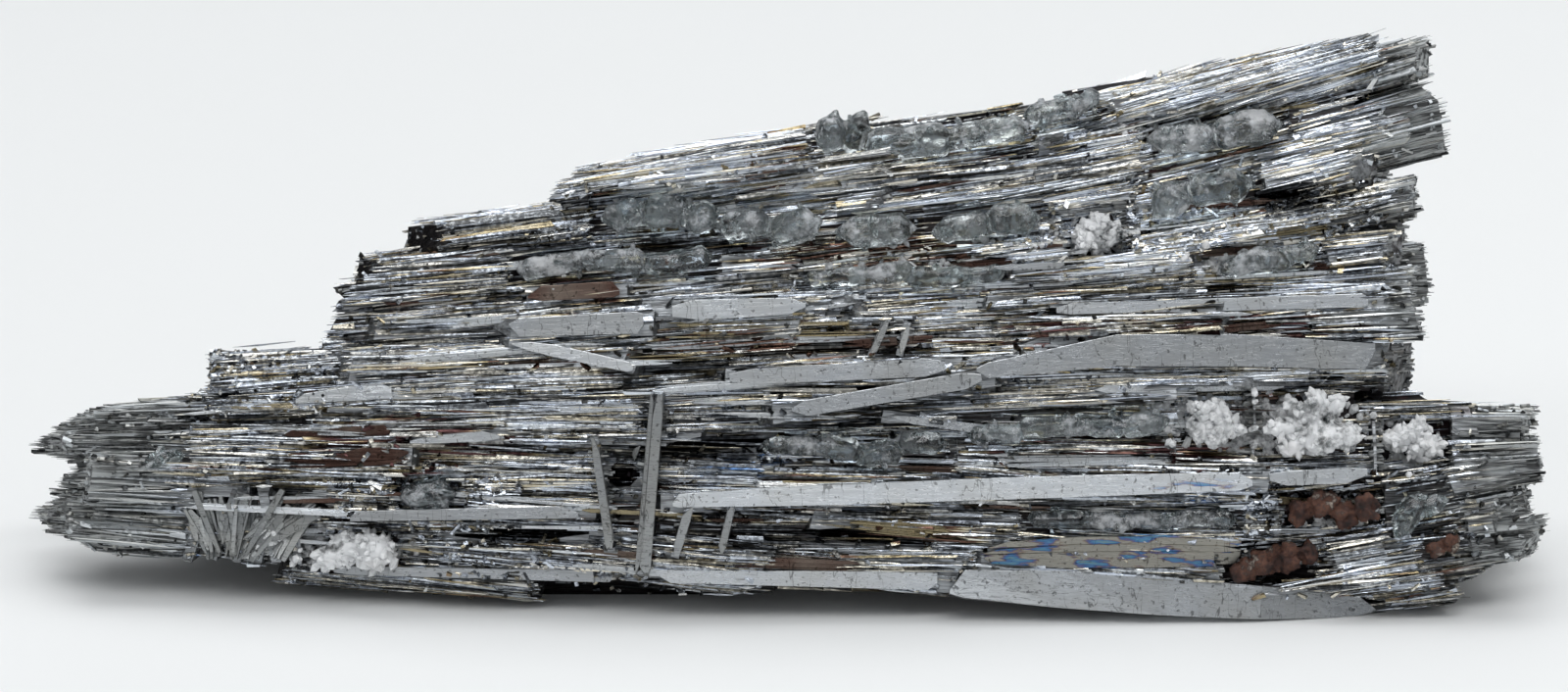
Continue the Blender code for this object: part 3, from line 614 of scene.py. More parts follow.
def scatter_tree():
    """Geometry Nodes that lay blades along the grain over a surface."""
    tree = bpy.data.node_groups.new("lay_blades", "GeometryNodeTree")
    for kind, names in BLADE_INPUTS.items():
        for name in names:
            tree.interface.new_socket(name, in_out="INPUT", socket_type="NodeSocket" + kind)
    tree.interface.new_socket("Geometry", in_out="OUTPUT", socket_type="NodeSocketGeometry")
    plan = Plan(tree)
    inputs = plan.node("NodeGroupInput")

    def given(name):
        return plan.out(inputs, name)

    def stored(name):
        return plan.add("GeometryNodeInputNamedAttribute", {"data_type": "FLOAT"}, {"Name": name})

    def chance(low, high, number, kind="FLOAT"):
        sockets = {"Min": low, "Max": high, "Seed": given("Seed") + number}
        return plan.add("FunctionNodeRandomValue", {"data_type": kind}, sockets)

    def pattern(vector, along, across, detail, output="Fac"):
        stretched = plan.vector("MULTIPLY", vector, (along, across, across))
        return plan.noise(stretched, 1.0, detail, output=output)

    # where the blades lie
    place = plan.add("GeometryNodeInputPosition")
    crowding = 0.30 + pattern(place, 90.0, 330.0, 1.0).step(0.38, 0.60) * 0.70
    density = given("Density") * stored("cover") * crowding
    sockets = {"Mesh": given("Geometry"), "Density": density, "Seed": given("Seed")}
    points = plan.node("GeometryNodeDistributePointsOnFaces", {}, sockets)
    normal = plan.out(points, "Normal")
    arm = plan.vector("SUBTRACT", place, given("Root"))
    grain = plan.grain_from(arm)
    ridges = pattern(grain, 0.07, 1.1, 2.0).step(0.36, 0.64)
    shades = pattern(grain, 0.10, 2.3, 2.0).step(0.30, 0.70)

    # which way they point
    sway = plan.vector("SUBTRACT", pattern(grain, 0.09, 0.45, 1.0, "Color"), (0.5, 0.5, 0.5))
    wander = chance((-1.0, -1.0, -1.0), (1.0, 1.0, 1.0), 1, "FLOAT_VECTOR")
    along = plan.vector("NORMALIZE", arm)
    for turned in (
        plan.scaled(tuple(FACE_UP), stored("bend")),
        plan.vector("ADD", plan.scaled(sway, given("Sway")), plan.scaled(wander, given("Wander"))),
    ):
        along = plan.vector("ADD", along, turned)
    settings = {"primary_axis": "X", "secondary_axis": "Z"}
    lying = plan.add("FunctionNodeAxesToRotation", settings, {0: along, 1: normal})
    roll = chance(-1.0, 1.0, 2) * given("Roll") - stored("tilt")
    about = plan.math("ROUND", chance(0.0, 1.0, 9)) * math.pi
    for axis, angle in (("X", roll), ("Z", about)):
        turn = plan.add("ShaderNodeCombineXYZ", {}, {axis: angle})
        turn = plan.add("FunctionNodeEulerToRotation", {}, {0: turn})
        lying = plan.add("FunctionNodeRotateRotation", {"rotation_space": "LOCAL"}, {0: lying, 1: turn})

    # how large they are, and how far they stand out
    long = given("Length") * (0.22 + 0.78 * chance(0.0, 1.0, 3) ** 1.8)
    wide = given("Width") * (0.30 + 0.70 * chance(0.0, 1.0, 4) ** 1.7)
    thick = given("Thickness") * (0.5 + 0.5 * chance(0.0, 1.0, 5))
    scale = plan.add("ShaderNodeCombineXYZ", {}, {"X": long, "Y": wide, "Z": thick})
    share = ridges * 0.55 + chance(0.0, 1.0, 6) ** 1.6 * 0.45
    lifted = plan.scaled(normal, given("Sunk") + share * (given("Proud") - given("Sunk")))
    sockets = {"Geometry": plan.out(points, "Points"), "Offset": lifted}
    moved = plan.add("GeometryNodeSetPosition", {}, sockets)
    sockets = {"Object": given("Blade"), "As Instance": True}
    blade = plan.add("GeometryNodeObjectInfo", {}, sockets, "Geometry")
    sockets = {"Points": moved, "Instance": blade, "Rotation": lying, "Scale": scale}
    laid = plan.add("GeometryNodeInstanceOnPoints", {}, sockets)
    # Tone: random, plus painted depth shade, so blades lifted less out of the surface are darker.
    tone = shades * 0.40 + share * 0.30 + chance(0.0, 1.0, 7) * 0.55 - 0.12
    for name, value in (("tone", tone), ("tint", chance(0.0, 1.0, 8))):
        settings = {"data_type": "FLOAT", "domain": "INSTANCE"}
        sockets = {"Geometry": laid, "Name": name, "Value": value}
        laid = plan.add("GeometryNodeStoreNamedAttribute", settings, sockets)
    real = plan.add("GeometryNodeRealizeInstances", {}, {"Geometry": laid})
    finished = plan.add("GeometryNodeSetMaterial", {}, {"Geometry": real, "Material": given("Material")})
    plan.node("NodeGroupOutput", {}, {"Geometry": finished})
    return tree


def guide(name, wanted):
    """A copy of the solid's surface that blades are laid on. wanted gives a face its share of them."""
    mesh = bpy.data.meshes.new(name)
    SOLID.to_mesh(mesh)
    fields = []
    for polygon in mesh.polygons:
        facing = polygon.normal.dot(grain_at(polygon.center))
        fields.append((wanted(polygon, facing), bend_at(polygon.center), tilt_at(polygon.center)))
    for field, values in zip(("cover", "bend", "tilt"), zip(*fields)):
        mesh.attributes.new(field, "FLOAT", "FACE").data.foreach_set("value", values)
    return link(name, mesh)


def bend_at(point):
    """How much steeper than the grain the blades climb at a point in metres."""
    u, v = point.x / MM, point.z / MM / math.cos(FACE_LEAN)
    lobe = rise(u, 30.0, 42.0) * rise(abs(v - 5.0), 9.0, 4.0)
    crown = rise(u, 8.0, 30.0) * rise(v, 24.0, 32.0)
    return 0.20 * lobe + 0.14 * crown


def tilt_at(point):
    """How far the blades at a point in metres are turned up to the light, in radians."""
    u, v = point.x / MM, point.z / MM / math.cos(FACE_LEAN)
    away = min(math.hypot((u - a) / b, (v - c) / d) for a, c, b, d in TILTED_AND_PAINTED_BRIGHT_PLACES)
    return 0.38 * rise(away, 1.25, 0.625)


def lay_blades(name, wanted, **inputs):
    """Lays blades over the part of the solid that wanted picks, and returns them as one plain mesh."""
    carrier = guide(name + "_guide", wanted)
    tree = bpy.data.node_groups.get("lay_blades") or scatter_tree()
    modifier = carrier.modifiers.new("Lay blades", "NODES")
    modifier.node_group = tree
    inputs["Root"] = tuple(ROOT)
    for item in tree.interface.items_tree:
        if item.item_type == "SOCKET" and item.in_out == "INPUT" and item.name in inputs:
            modifier[item.identifier] = inputs[item.name]
    bpy.context.view_layer.update()
    graph = bpy.context.evaluated_depsgraph_get()
    evaluated = carrier.evaluated_get(graph)
    mesh = bpy.data.meshes.new_from_object(evaluated, preserve_all_data_layers=True, depsgraph=graph)
    mesh.name = name
    carrier_mesh = carrier.data
    bpy.data.objects.remove(carrier)
    bpy.data.meshes.remove(carrier_mesh)
    if not mesh.polygons:
        raise RuntimeError(f"{name} has no blades")
    return link(name, mesh)


def grow_blades(name, blade, wanted, clear=None, over_end=0.00015, **inputs):
    """Lays blades, trims them to the solid, and settles them on it."""
    made = lay_blades(name, wanted, Blade=blade.shape, **inputs)
    trim_blades(made, blade, clear, over_end)
    settle_on_spray(made)


class ClearMap:
    """How much of each place on the face is kept clear of fine blades, on a fine grid of u and v."""

    step = 0.1
    low_u, low_v = -58.0, -3.0
    cells = (1170, 480)

    def __init__(self):
        self.share = np.zeros(self.cells, np.float32)

    def box(self, u0, u1, v0, v1, share):
        i0, i1 = (int((u - self.low_u) / self.step) for u in (u0, u1))
        j0, j1 = (int((v - self.low_v) / self.step) for v in (v0, v1))
        part = self.share[i0:i1, j0:j1]
        np.maximum(part, share, out=part)

    def strip(self, stations, share):
        """Keeps clear the width of a broad blade along its stations."""
        count = 2 + int(math.dist(stations[0][:2], stations[-1][:2]) / self.step)
        for i in range(count):
            u, v, width = station_at(stations, i / (count - 1))
            if abs(stations[0][0] - stations[-1][0]) < abs(stations[0][1] - stations[-1][1]):
                self.box(u - width / 2, u + width / 2, v - self.step, v + self.step, share)
            else:
                self.box(u - self.step, u + self.step, v - width / 2, v + width / 2, share)

    def at(self, u, v):
        i = np.clip(((u - self.low_u) / self.step).astype(int), 0, self.cells[0] - 1)
        j = np.clip(((v - self.low_v) / self.step).astype(int), 0, self.cells[1] - 1)
        return self.share[i, j]


def places_kept_clear():
    """The minerals, most of the slots, the broad blades and the sheaf."""
    clear = ClearMap()
    for node in QUARTZ + OXIDE:
        if not node.startswith("quartz_back"):
            u0, u1, v0, v1 = face_box(node)
            share = 0.95 if node in WHITE_QUARTZ + OXIDE else 0.58
            clear.box(u0 - 0.1, u1 + 0.1, v0 + 0.15, v1 - 0.10, share)
    for u0, v0, u1, v1, height in SLOTS:
        clear.box(u0, u1, min(v0, v1) - height / 2, max(v0, v1) + height / 2, 0.85)
    for u, v, reach_u, reach_v in HOLLOWS_WITH_PAINTED_SHADE:
        clear.box(u - 0.8 * reach_u, u + 0.8 * reach_u, v - 0.6 * reach_v, v + 0.6 * reach_v, 0.45)
    tables = (PALE_BLADES, GOLD_BLADES, BROWN_BLADES, TAN_BLADES, CROSS_BLADES)
    for table, share in zip(tables, (0.96, 0.3, 0.90, 0.97, 0.8)):
        for _, stations in table:
            clear.strip(stations, share)
    clear.box(*SHEAF_U, *SHEAF_V, 0.9)
    return clear


def longest_run(kept):
    """Start and end of the longest run of true values."""
    best, start = (0, -1), None
    for i, value in enumerate([*kept, False]):
        if value and start is None:
            start = i
        elif not value and start is not None:
            best = max(best, (start, i - 1), key=lambda run: run[1] - run[0])
            start = None
    return best


TESTED = 13  # places tested along each blade
OVER_SIDE = 0.00055  # metres: how far a blade may lie off the solid's side
DEEPEST = 0.0020  # metres: how far it may lie inside
STRETCH = 0.03  # of its length: what a cut blade keeps past the last place that holds


def holds(point, over_end):
    """Says whether a point of a blade lies on the solid or a little inside it."""
    spot, normal, _, distance = SURFACE.find_nearest(point)
    past_end = abs((point - spot).dot(grain_at(spot)))
    if (point - spot).dot(normal) < 0:
        return distance < DEEPEST and past_end < 0.0005
    return distance < OVER_SIDE and past_end < over_end


def trim_blades(made, blade, clear, over_end):
    """Shortens blades that end in the air or cross a clear place, and drops those with too little left."""
    chance = np.random.default_rng(3)
    mesh = made.data
    shells = blade.ring * blade.rings
    count = len(mesh.vertices) // shells
    points = np.empty(len(mesh.vertices) * 3, np.float32)
    mesh.vertices.foreach_get("co", points)
    points = points.reshape(count, shells, 3).astype(float)
    first, last = points[:, : blade.ring].mean(1), points[:, -blade.ring :].mean(1)
    axis = last - first
    samples = np.linspace(0.0, 1.0, TESTED)
    lines = first[:, None] + axis[:, None] * samples[:, None]
    u, v, out = on_face(lines)
    luck = chance.random(count)
    crossed = (clear.at(u, v) > luck[:, None]) & (out > -2.5) if clear else np.zeros(u.shape, bool)
    dropped = np.zeros(count, bool)
    for i in range(count):
        kept = [holds(Vector(point), over_end) and not cross for point, cross in zip(lines[i], crossed[i])]
        start, end = longest_run(kept)
        if end - start < 1:
            dropped[i] = True
            continue
        low = samples[start] - (STRETCH if start else 0.0)
        high = samples[end] + (STRETCH if end < TESTED - 1 else 0.0)
        share = (points[i] - first[i]) @ axis[i] / (axis[i] @ axis[i])
        points[i] += (low + (high - low) * share - share)[:, None] * axis[i]
    low_corner = np.array(CAD_BOX[0]) - PAST_SOLIDS
    high_corner = np.array(CAD_BOX[1]) + PAST_SOLIDS
    low_corner[2] = FLOOR_CLEAR
    mesh.vertices.foreach_set("co", np.clip(points, low_corner, high_corner).reshape(-1).astype(np.float32))
    bm = bmesh.new()
    bm.from_mesh(mesh)
    gone = np.repeat(dropped, shells)
    bmesh.ops.delete(bm, geom=[vert for vert in bm.verts if gone[vert.index]], context="VERTS")
    bm.to_mesh(mesh)
    bm.free()


# ---------------------------------------------------------------- where blades grow
# Each rule gives a face of the solid its share of blades. facing is how far it faces along the grain.


def end_share(polygon):
    """1 on the weathered ends, and 0 between them."""
    u, v = polygon.center.x / MM, polygon.center.z / MM
    right = 46.0 if v < 15.0 else 40.5
    return max(rise(-u, 42.0, 47.0), rise(u, right, right + 4.0))


def front_share(deepest, low=-1.0, high=100.0):
    """A rule that picks faces of the front down to a depth and between two heights, in millimetres."""

    def share(polygon, facing):
        if polygon.normal.dot(FACE_OUT) <= 0.30 or abs(facing) >= 0.55 or polygon.center.z <= 0.0004:
            return 0.0
        centre = polygon.center / MM
        depth = (centre - face(centre.x, 0.0)).dot(FACE_OUT)
        return 1.0 - 0.97 * end_share(polygon) if depth > deepest and low <= centre.z < high else 0.0

    return share


def behind(polygon, facing):
    turned = polygon.normal.dot(FACE_OUT) <= 0.30 and polygon.normal.z > -0.35
    return 1.0 if turned and abs(facing) < 0.6 and polygon.center.z > 0.0012 else 0.0


def under(polygon, facing):
    low = polygon.normal.z <= -0.35 and polygon.normal.dot(FACE_OUT) <= 0.30
    return 1.0 if low and abs(facing) < 0.6 and polygon.center.z > 0.0012 else 0.0


def weathered(polygon, facing):
    return end_share(polygon) if abs(facing) < 0.6 and polygon.center.z > 0.0008 else 0.0


def outer_end(polygon, facing):
    ahead = SURFACE.ray_cast(polygon.center + polygon.normal * 0.0001, polygon.normal, 0.006)[0]
    return abs(facing) >= 0.45 and polygon.center.z > 0.0008 and ahead is None


def broad_end(polygon, facing):
    return 1.0 if outer_end(polygon, facing) and polygon.center.x > 0.0 else 0.0


def narrow_end(polygon, facing):
    return 1.0 if outer_end(polygon, facing) and polygon.center.x <= 0.0 else 0.0


def crushed(polygon, facing):
    """1 in the crushed places and little elsewhere on the front."""
    if polygon.normal.dot(FACE_OUT) <= 0.2 or polygon.center.z <= 0.001:
        return 0.0
    place = polygon.center / MM
    inside = [((place.x - u) / a) ** 2 + ((place.z - z) / b) ** 2 < 1.0 for u, z, a, b in CRUSHED]
    return 1.0 if any(inside) else 0.12


# ---------------------------------------------------------------- broad blades

# Lengths here are in millimetres.
BETWEEN_CUTS = (12.0, 60.0)  # from one crack across a strip to the next
SHORTEST = (3.0, 1.0)  # no cut is made nearer the end than the first, and none is kept nearer than the second
CRACK = 0.02  # its width
BLADE_DEPTH = 1.3  # from a strip's top to its underside, which lies inside the solid
EDGE = 0.035  # what its long edges are bevelled by
RING = ((-1, -BLADE_DEPTH), (1, -BLADE_DEPTH), (1, -EDGE), (1, 0.0), (-1, 0.0), (-1, -EDGE))


def run_of(stations):
    """Distance from the first station to the last."""
    return math.dist(stations[0][:2], stations[-1][:2])


def broad_blade(bm, stations, proud, chance, strip=0.45, step=0.10, ragged=1.4, blunt=0.05):
    """Adds a broad blade: strips side by side along its stations, at slightly different heights and ends."""
    layers = [bm.verts.layers.float.get(name) or bm.verts.layers.float.new(name) for name in ("tone", "tint")]
    count = max(1, round(max(width for _, _, width in stations) / strip))
    shares = sorted(chance.uniform(0.0, 1.0) for _ in range(count - 1))
    edges = [0.0] + [0.5 * (s + (i + 1) / count) for i, s in enumerate(shares)] + [1.0]
    tone_of_all, tint_of_all = chance.random(), chance.random()
    run = run_of(stations)
    reach = min(ragged, 0.3 * run) / run
    for k in range(count):
        finish = 1.0 - chance.uniform(0.0, reach)
        cuts = [chance.uniform(0.0, reach)]
        while cuts[-1] < finish - SHORTEST[0] / run:
            cuts.append(cuts[-1] + chance.uniform(*BETWEEN_CUTS) / run)
        cuts = [cut for cut in cuts if cut < finish - SHORTEST[1] / run] + [finish]
        for a, b in zip(cuts, cuts[1:]):
            height = proud - chance.uniform(0.0, step) * (1 if count > 1 else 0.3)
            before = len(bm.verts)
            tips = (a == cuts[0], b == cuts[-1])
            ends = (a, b - CRACK / run)
            shell(bm, strip_rings(stations, ends, edges[k : k + 2], height, tips, chance, blunt))
            bm.verts.ensure_lookup_table()
            tone = rise(tone_of_all + chance.uniform(-0.15, 0.15), 0.0, 1.0)
            for vert in bm.verts[before:]:
                vert[layers[0]], vert[layers[1]] = tone, tint_of_all


def strip_rings(stations, ends, edges, height, tips, chance, blunt):
    """Rings of points in metres of one strip of a broad blade, with a point at each end that is a tip."""
    start, end = ends
    low, high = edges
    along = Vector((stations[-1][0] - stations[0][0], stations[-1][1] - stations[0][1]))
    side = Vector((-along.y, along.x)).normalized()
    tip = [min(chance.uniform(0.3, 1.6) / run_of(stations), 0.3 * (end - start)) for _ in tips]
    middle = [start + (end - start) * t for t in (0.35, 0.65)]
    places = [start, start + tip[0], *middle, end - tip[1], end]
    narrow = [chance.uniform(blunt, 0.6 + 0.4 * blunt) if is_tip else 1.0 for is_tip in tips]
    scales = [narrow[0], 1.0, 1.0, 1.0, 1.0, narrow[1]]
    lean = chance.uniform(-0.5, 0.5)
    surface = [reach_out(*station_at(stations, place)[:2]) for place in places]
    first, last = max(surface[:3]), max(surface[3:])
    rings = []
    for place, scale in zip(places, scales):
        u, v, width = station_at(stations, place)
        w = first + (last - first) * (place - start) / max(1e-6, end - start) + height
        centre = (0.5 * (low + high) - 0.5 + lean * (high - low) * (1.0 - scale)) * width
        half = 0.5 * (high - low) * width * scale
        ring = []
        for across, depth in RING:
            t = centre + across * (half - (min(EDGE, half * 0.4) if depth == 0.0 else 0.0))
            ring.append(face(u + side.x * t, v + side.y * t, w + depth) * MM)
        rings.append(ring)
    return rings


def station_at(stations, share):
    """u, v and width at a share of the way along the stations."""
    u = stations[0][0] + (stations[-1][0] - stations[0][0]) * share
    if abs(stations[-1][0] - stations[0][0]) < abs(stations[-1][1] - stations[0][1]):
        return [a + (b - a) * share for a, b in zip(stations[0], stations[-1])]
    for near, far in zip(stations, stations[1:]):
        if u <= far[0]:
            break
    t = (u - near[0]) / (far[0] - near[0])
    return [a + (b - a) * t for a, b in zip(near, far)]


def broad_blades(name, table, material, seed, **style):
    """One piece that holds every broad blade of a table."""
    chance = random.Random(seed)
    bm = bmesh.new()
    for proud, stations in table:
        broad_blade(bm, stations, proud, chance, **style)
    made = object_of(bm, name, material)
    for vert in made.data.vertices:
        vert.co.z = max(vert.co.z, FLOOR_CLEAR)
        vert.co.y = max(vert.co.y, CAD_BOX[0][1] - FURTHEST_OUT)
    settle_on_spray(made)


def sheaf_blades(count, seed):
    """Stations of a fan of short blades that stand across the others."""
    chance = random.Random(seed)
    table = []
    for i in range(count):
        t = (i + chance.uniform(0.1, 0.9)) / count
        top = (SHEAF_U[0] + 9.9 * t + chance.uniform(-0.5, 0.5), SHEAF_V[1] - chance.uniform(0.0, 2.6))
        foot = (SHEAF_U[0] + 1.2 + 5.4 * t + chance.uniform(-0.8, 0.8), SHEAF_V[0] + chance.uniform(0.1, 2.2))
        width = chance.choice((0.35, 0.5, 0.8, 1.3))
        table.append((chance.uniform(0.0, 0.75), ((*top, width), (*foot, width * chance.uniform(0.7, 1.0)))))
    return table


def random_blades(count, seed, widths, lengths, proud):
    """Stations of medium blades spread over the face along the grain."""
    chance = random.Random(seed)
    table = []
    while len(table) < count:
        u, v = chance.uniform(-38.0, 40.0), chance.uniform(1.5, 40.0)
        direction = grain_at(face(u, v) * MM)
        slope = direction.dot(FACE_UP) / direction.x + chance.uniform(-0.05, 0.06)
        half = 0.5 * chance.uniform(*lengths)
        if any(reach_out(u + s * half, v + s * half * slope) < -1.5 for s in (-1.0, -0.5, 0.0, 0.5, 1.0)):
            continue
        width = chance.uniform(*widths)
        ends = [(u + s * half, v + s * half * slope, width * chance.uniform(0.4, 1.0)) for s in (-1, 0, 1)]
        ends[1] = (*ends[1][:2], width)
        table.append((chance.uniform(*proud), tuple(ends)))
    return table


# ---------------------------------------------------------------- finishes


def tarnish_of(finish, tint, colours):
    """Tarnish colour of a blade from its tint, and of the places where tarnish is thicker."""
    stops = (
        (0.00, (0.62, 0.67, 0.76)),
        (0.45, tuple(colours.lead)),
        (0.66, (0.78, 0.76, 0.71)),
        (0.84, (0.70, 0.65, 0.53)),
        (0.91, tuple(colours.gold)),
        (0.95, (0.15, 0.085, 0.065)),
        (1.00, tuple(colours.maroon)),
    )
    thick = tint
    for places, share, most in ((GOLD_PLACES, 0.45, 0.95), (MAROON_PLACES, 0.26, 1.0)):
        for place in places:
            thick = (thick + finish.near(*place) * share).at_most(most)
    return finish.ramp(thick.at_most(1.0), stops)


def blade_finish(name, colours, bright, rough):
    """Metallic stibnite for blades that carry a tone, with painted depth shade in it, and a tint; a painted
    highlight, painted shade and painted glints go into the base colour.
    """
    finish = Finish(name)
    tone, tint = finish.attribute("tone"), finish.attribute("tint")
    fine = finish.streaks(finish.grain(), 0.32, 7.0, 3.0)
    patches = finish.noise(finish.place, 170.0, 3.0)
    colour = tarnish_of(finish, tint * 0.94 + (patches - 0.5) * 0.35, colours)
    for place in BLUE_PLACES:
        spotted = finish.near(*place) * tint.step(0.60, 0.66) * fine.step(0.42, 0.55)
        colour = finish.mix(spotted * 0.85, colour, tuple(colours.blue))
    worn = finish.worn()
    colour = finish.mix(worn * 0.8, colour, tuple(colours.dull))
    tone_shade_and_highlight = tone.at_least(0.0)
    # painted highlight: the base colour is made lighter in the listed bright places
    for place in TILTED_AND_PAINTED_BRIGHT_PLACES:
        tone_shade_and_highlight = tone_shade_and_highlight + finish.near(*place) * 0.40
    level = (0.03 + tone_shade_and_highlight ** 2.4 * 2.3) * (fine * 0.8 + 0.6) * bright * (1.0 + worn * 0.6)
    # painted shade: blades in the slots and hollows get a darker base colour
    for place in HOLLOWS_WITH_PAINTED_SHADE:
        level = level * (1.0 - finish.near(*place) * 0.85)
    # painted glints: fine bright specks in the base colour, with darker specks between
    glint_flecks = finish.noise(finish.place, 2600.0, 2.0, 0.6)
    level = level * (0.50 + glint_flecks.step(0.40, 0.66) * 1.05)
    uneven = (rough + (fine - 0.5) * 0.30 + (patches - 0.5) * 0.25 + worn * 0.30).at_least(0.12)
    finish.set(
        Base_Color=finish.scaled(colour, level.at_most(1.0)),
        Roughness=uneven,
        Metallic=1.0,
        Normal=finish.bump(fine, 0.5, 0.00008),
    )
    return finish.material


def broad_finish(name, colours, base, rough, patchy=0.0):
    """Smooth broad blades with fine lengthwise lines, hairline cracks, pits and thin tarnish."""
    finish = Finish(name)
    grain = finish.grain()
    base = tuple(base)
    fine = finish.streaks(grain, 0.25, 14.0, 2.0)
    patches = finish.noise(finish.place, 260.0, 4.0)
    lines = finish.streaks(grain, 0.03, 3.2, 3.0)
    line = 1.0 - finish.math("ABSOLUTE", lines - 0.5).step(0.003, 0.016)
    across = finish.noise(finish.vector("MULTIPLY", grain, (0.75, 0.22, 0.22)), 1.0, 3.0)
    crack = (1.0 - finish.math("ABSOLUTE", across - 0.5).step(0.002, 0.008)) * patches.step(0.44, 0.56)
    pits = finish.noise(grain, 2.6, 4.0).step(0.61, 0.67)
    dark = (crack * 0.6).at_least(line * 0.5).at_least(pits * 0.6)
    blotch = finish.noise(finish.vector("MULTIPLY", grain, (0.34, 1.9, 1.9)), 1.0, 4.0)
    film = (
        (0.0, base),
        (0.52, base),
        (0.55, (0.36, 0.27, 0.20)),
        (0.57, (0.16, 0.14, 0.36)),
        (0.60, tuple(colours.blue)),
        (0.67, (0.14, 0.45, 0.66)),
        (0.74, (0.52, 0.47, 0.28)),
    )
    colour = finish.mix((patches - 0.42) * 0.9, base, (0.50, 0.475, 0.40))
    spots = finish.near(*FILM_PLACE) * 0.9
    colour = finish.mix(spots.at_least(patchy), colour, finish.ramp(blotch, film))
    level = (0.62 + finish.attribute("tone") * 0.50 + (fine - 0.5) * 0.40) * (1.0 - dark)
    finish.set(
        Base_Color=finish.scaled(colour, level),
        Roughness=(rough + (patches - 0.5) * 0.35 + dark * 0.3).at_least(0.14),
        Metallic=1.0,
        Normal=finish.bump(fine * 0.25 - dark + lines * 0.5, 0.30, 0.00008),
    )
    return finish.material


def deep_finish(colours):
    """The spray's own solid: ribbed along the grain, darkened by painted shade in its hollows and smooth on
    its proud blades.
    """
    finish = Finish("deep_stibnite")
    grain = finish.grain()
    ribs = finish.streaks(grain, 0.06, 2.2, 4.0)
    fine = finish.streaks(grain, 0.20, 9.0, 3.0)
    patches = finish.noise(finish.place, 190.0, 3.0)
    out = finish.out_of_face()
    # proud: 1 out on the face and 0 back in it; the colour below is lighter on proud places and darker in the
    # hollows, as painted shade
    proud = (out + (patches - 0.5) * 1.5).step(-1.6, 0.9)
    # near black to grey: the solid is painted dark as the shade in the gaps between the blades laid over it
    stops = (
        (0.34, (0.008, 0.007, 0.008)),
        (0.48, (0.05, 0.045, 0.045)),
        (0.60, (0.26, 0.27, 0.28)),
        (0.78, (0.60, 0.63, 0.66)),
    )
    colour = finish.ramp(ribs * 0.46 + fine * 0.30 + proud * 0.24, stops)
    colour = finish.mix(patches.step(0.55, 0.70) * (1.0 - proud) * 0.7, colour, tuple(colours.maroon))
    behind = 1.0 - (out + (patches - 0.5) * 4.0).step(-9.0, -5.0)
    worn = finish.worn().at_least(behind * 0.6)
    powder = finish.mix(patches.step(0.45, 0.62), tuple(colours.dull), (0.40, 0.41, 0.42))
    powder = finish.scaled(powder, ribs.step(0.38, 0.60) * 0.95 + 0.10)
    finish.set(
        Base_Color=finish.mix(worn * 0.85, colour, powder),
        Roughness=0.22 + fine * 0.35 + worn * 0.25,
        Metallic=1.0 - worn * 0.55,
        Normal=finish.bump(ribs + fine * 0.4, 0.7, 0.00020),
    )
    return finish.material


def fibre_finish(name, colours, pale):
    """Matte broken ends of the blades, powdery in places."""
    finish = Finish(name)
    tone = finish.attribute("tone")
    patches = finish.noise(finish.place, 240.0, 4.0)
    ends = finish.streaks(finish.grain(), 0.12, 2.6, 4.0).step(0.38, 0.58)
    # painted shade: dark patches in the base colour that stand for pockets in the broken ends
    painted_pocket_shade = finish.noise(finish.place, 520.0, 3.0).step(0.34, 0.50)
    colour = finish.mix(patches.step(0.40, 0.66) * pale, tuple(colours.dull), (0.56, 0.57, 0.57))
    colour = finish.mix((tone - 0.55).at_least(0.0) * 1.2, colour, (0.20, 0.17, 0.13))
    level = (tone * 0.9 + 0.35) * (0.22 + ends * 1.05) * (0.35 + painted_pocket_shade * 0.65)
    finish.set(Base_Color=finish.scaled(colour, level), Roughness=0.45 + patches * 0.35, Metallic=0.35)
    return finish.material


def quartz_finish(name, colours, milky_colour, cloud):
    """Quartz that is clear in places and cloudy in others."""
    finish = Finish(name)
    veils = finish.noise(finish.place, 900.0, 5.0, 0.65)
    broad = finish.noise(finish.place, 260.0, 2.0)
    specks = finish.noise(finish.place, 4200.0, 2.0).step(0.60, 0.66) * broad.step(0.40, 0.56)
    milky = (veils * 0.8 + broad * 0.7 + cloud).step(0.74, 0.96).at_least(specks * 0.7)
    relief = finish.bump(finish.noise(finish.place, 2200.0, 3.0) * 0.4 + veils, 0.35, 0.00020)
    finish.set(
        Base_Color=(*colours.clear, 1.0),
        Roughness=0.03 + veils * 0.14,
        IOR=QUARTZ_IOR,
        Transmission_Weight=1.0,
        Normal=relief,
    )
    cloudy = finish.node("ShaderNodeBsdfPrincipled")
    finish.fill(
        cloudy,
        Base_Color=finish.mix(broad.step(0.56, 0.70) * 0.10, tuple(milky_colour), (0.34, 0.25, 0.17)),
        Roughness=0.18 + veils * 0.4,
        IOR=QUARTZ_IOR,
        Subsurface_Weight=0.25,
        Subsurface_Radius=(0.0010, 0.0010, 0.0010),
        Subsurface_Scale=1.0,
        Normal=relief,
    )
    mixed = finish.node("ShaderNodeMixShader", {}, {"Fac": milky})
    for shader, socket in ((finish.shader, mixed.inputs[1]), (cloudy, mixed.inputs[2])):
        finish.tree.links.new(shader.outputs["BSDF"], socket)
    finish.tree.links.new(mixed.outputs["Shader"], finish.output.inputs["Surface"])
    return finish.material


def oxide_finish(colours):
    """Earthy iron oxide, from near black to orange, with pale grains."""
    finish = Finish("earthy_iron_oxide")
    coarse = finish.noise(finish.place, 500.0, 5.0, 0.65)
    fine = finish.noise(finish.place, 2600.0, 3.0)
    stops = (
        (0.36, (0.014, 0.009, 0.008)),
        (0.46, tuple(colours.rust)),
        (0.53, (0.115, 0.050, 0.031)),
        (0.58, (0.055, 0.034, 0.029)),
        (0.64, (0.36, 0.31, 0.26)),
    )
    finish.set(
        Base_Color=finish.ramp(coarse * 0.75 + fine * 0.25, stops),
        Roughness=0.70 + fine * 0.25,
        Normal=finish.bump(fine, 0.6, 0.0002),
    )
    return finish.material


# ---------------------------------------------------------------- minerals


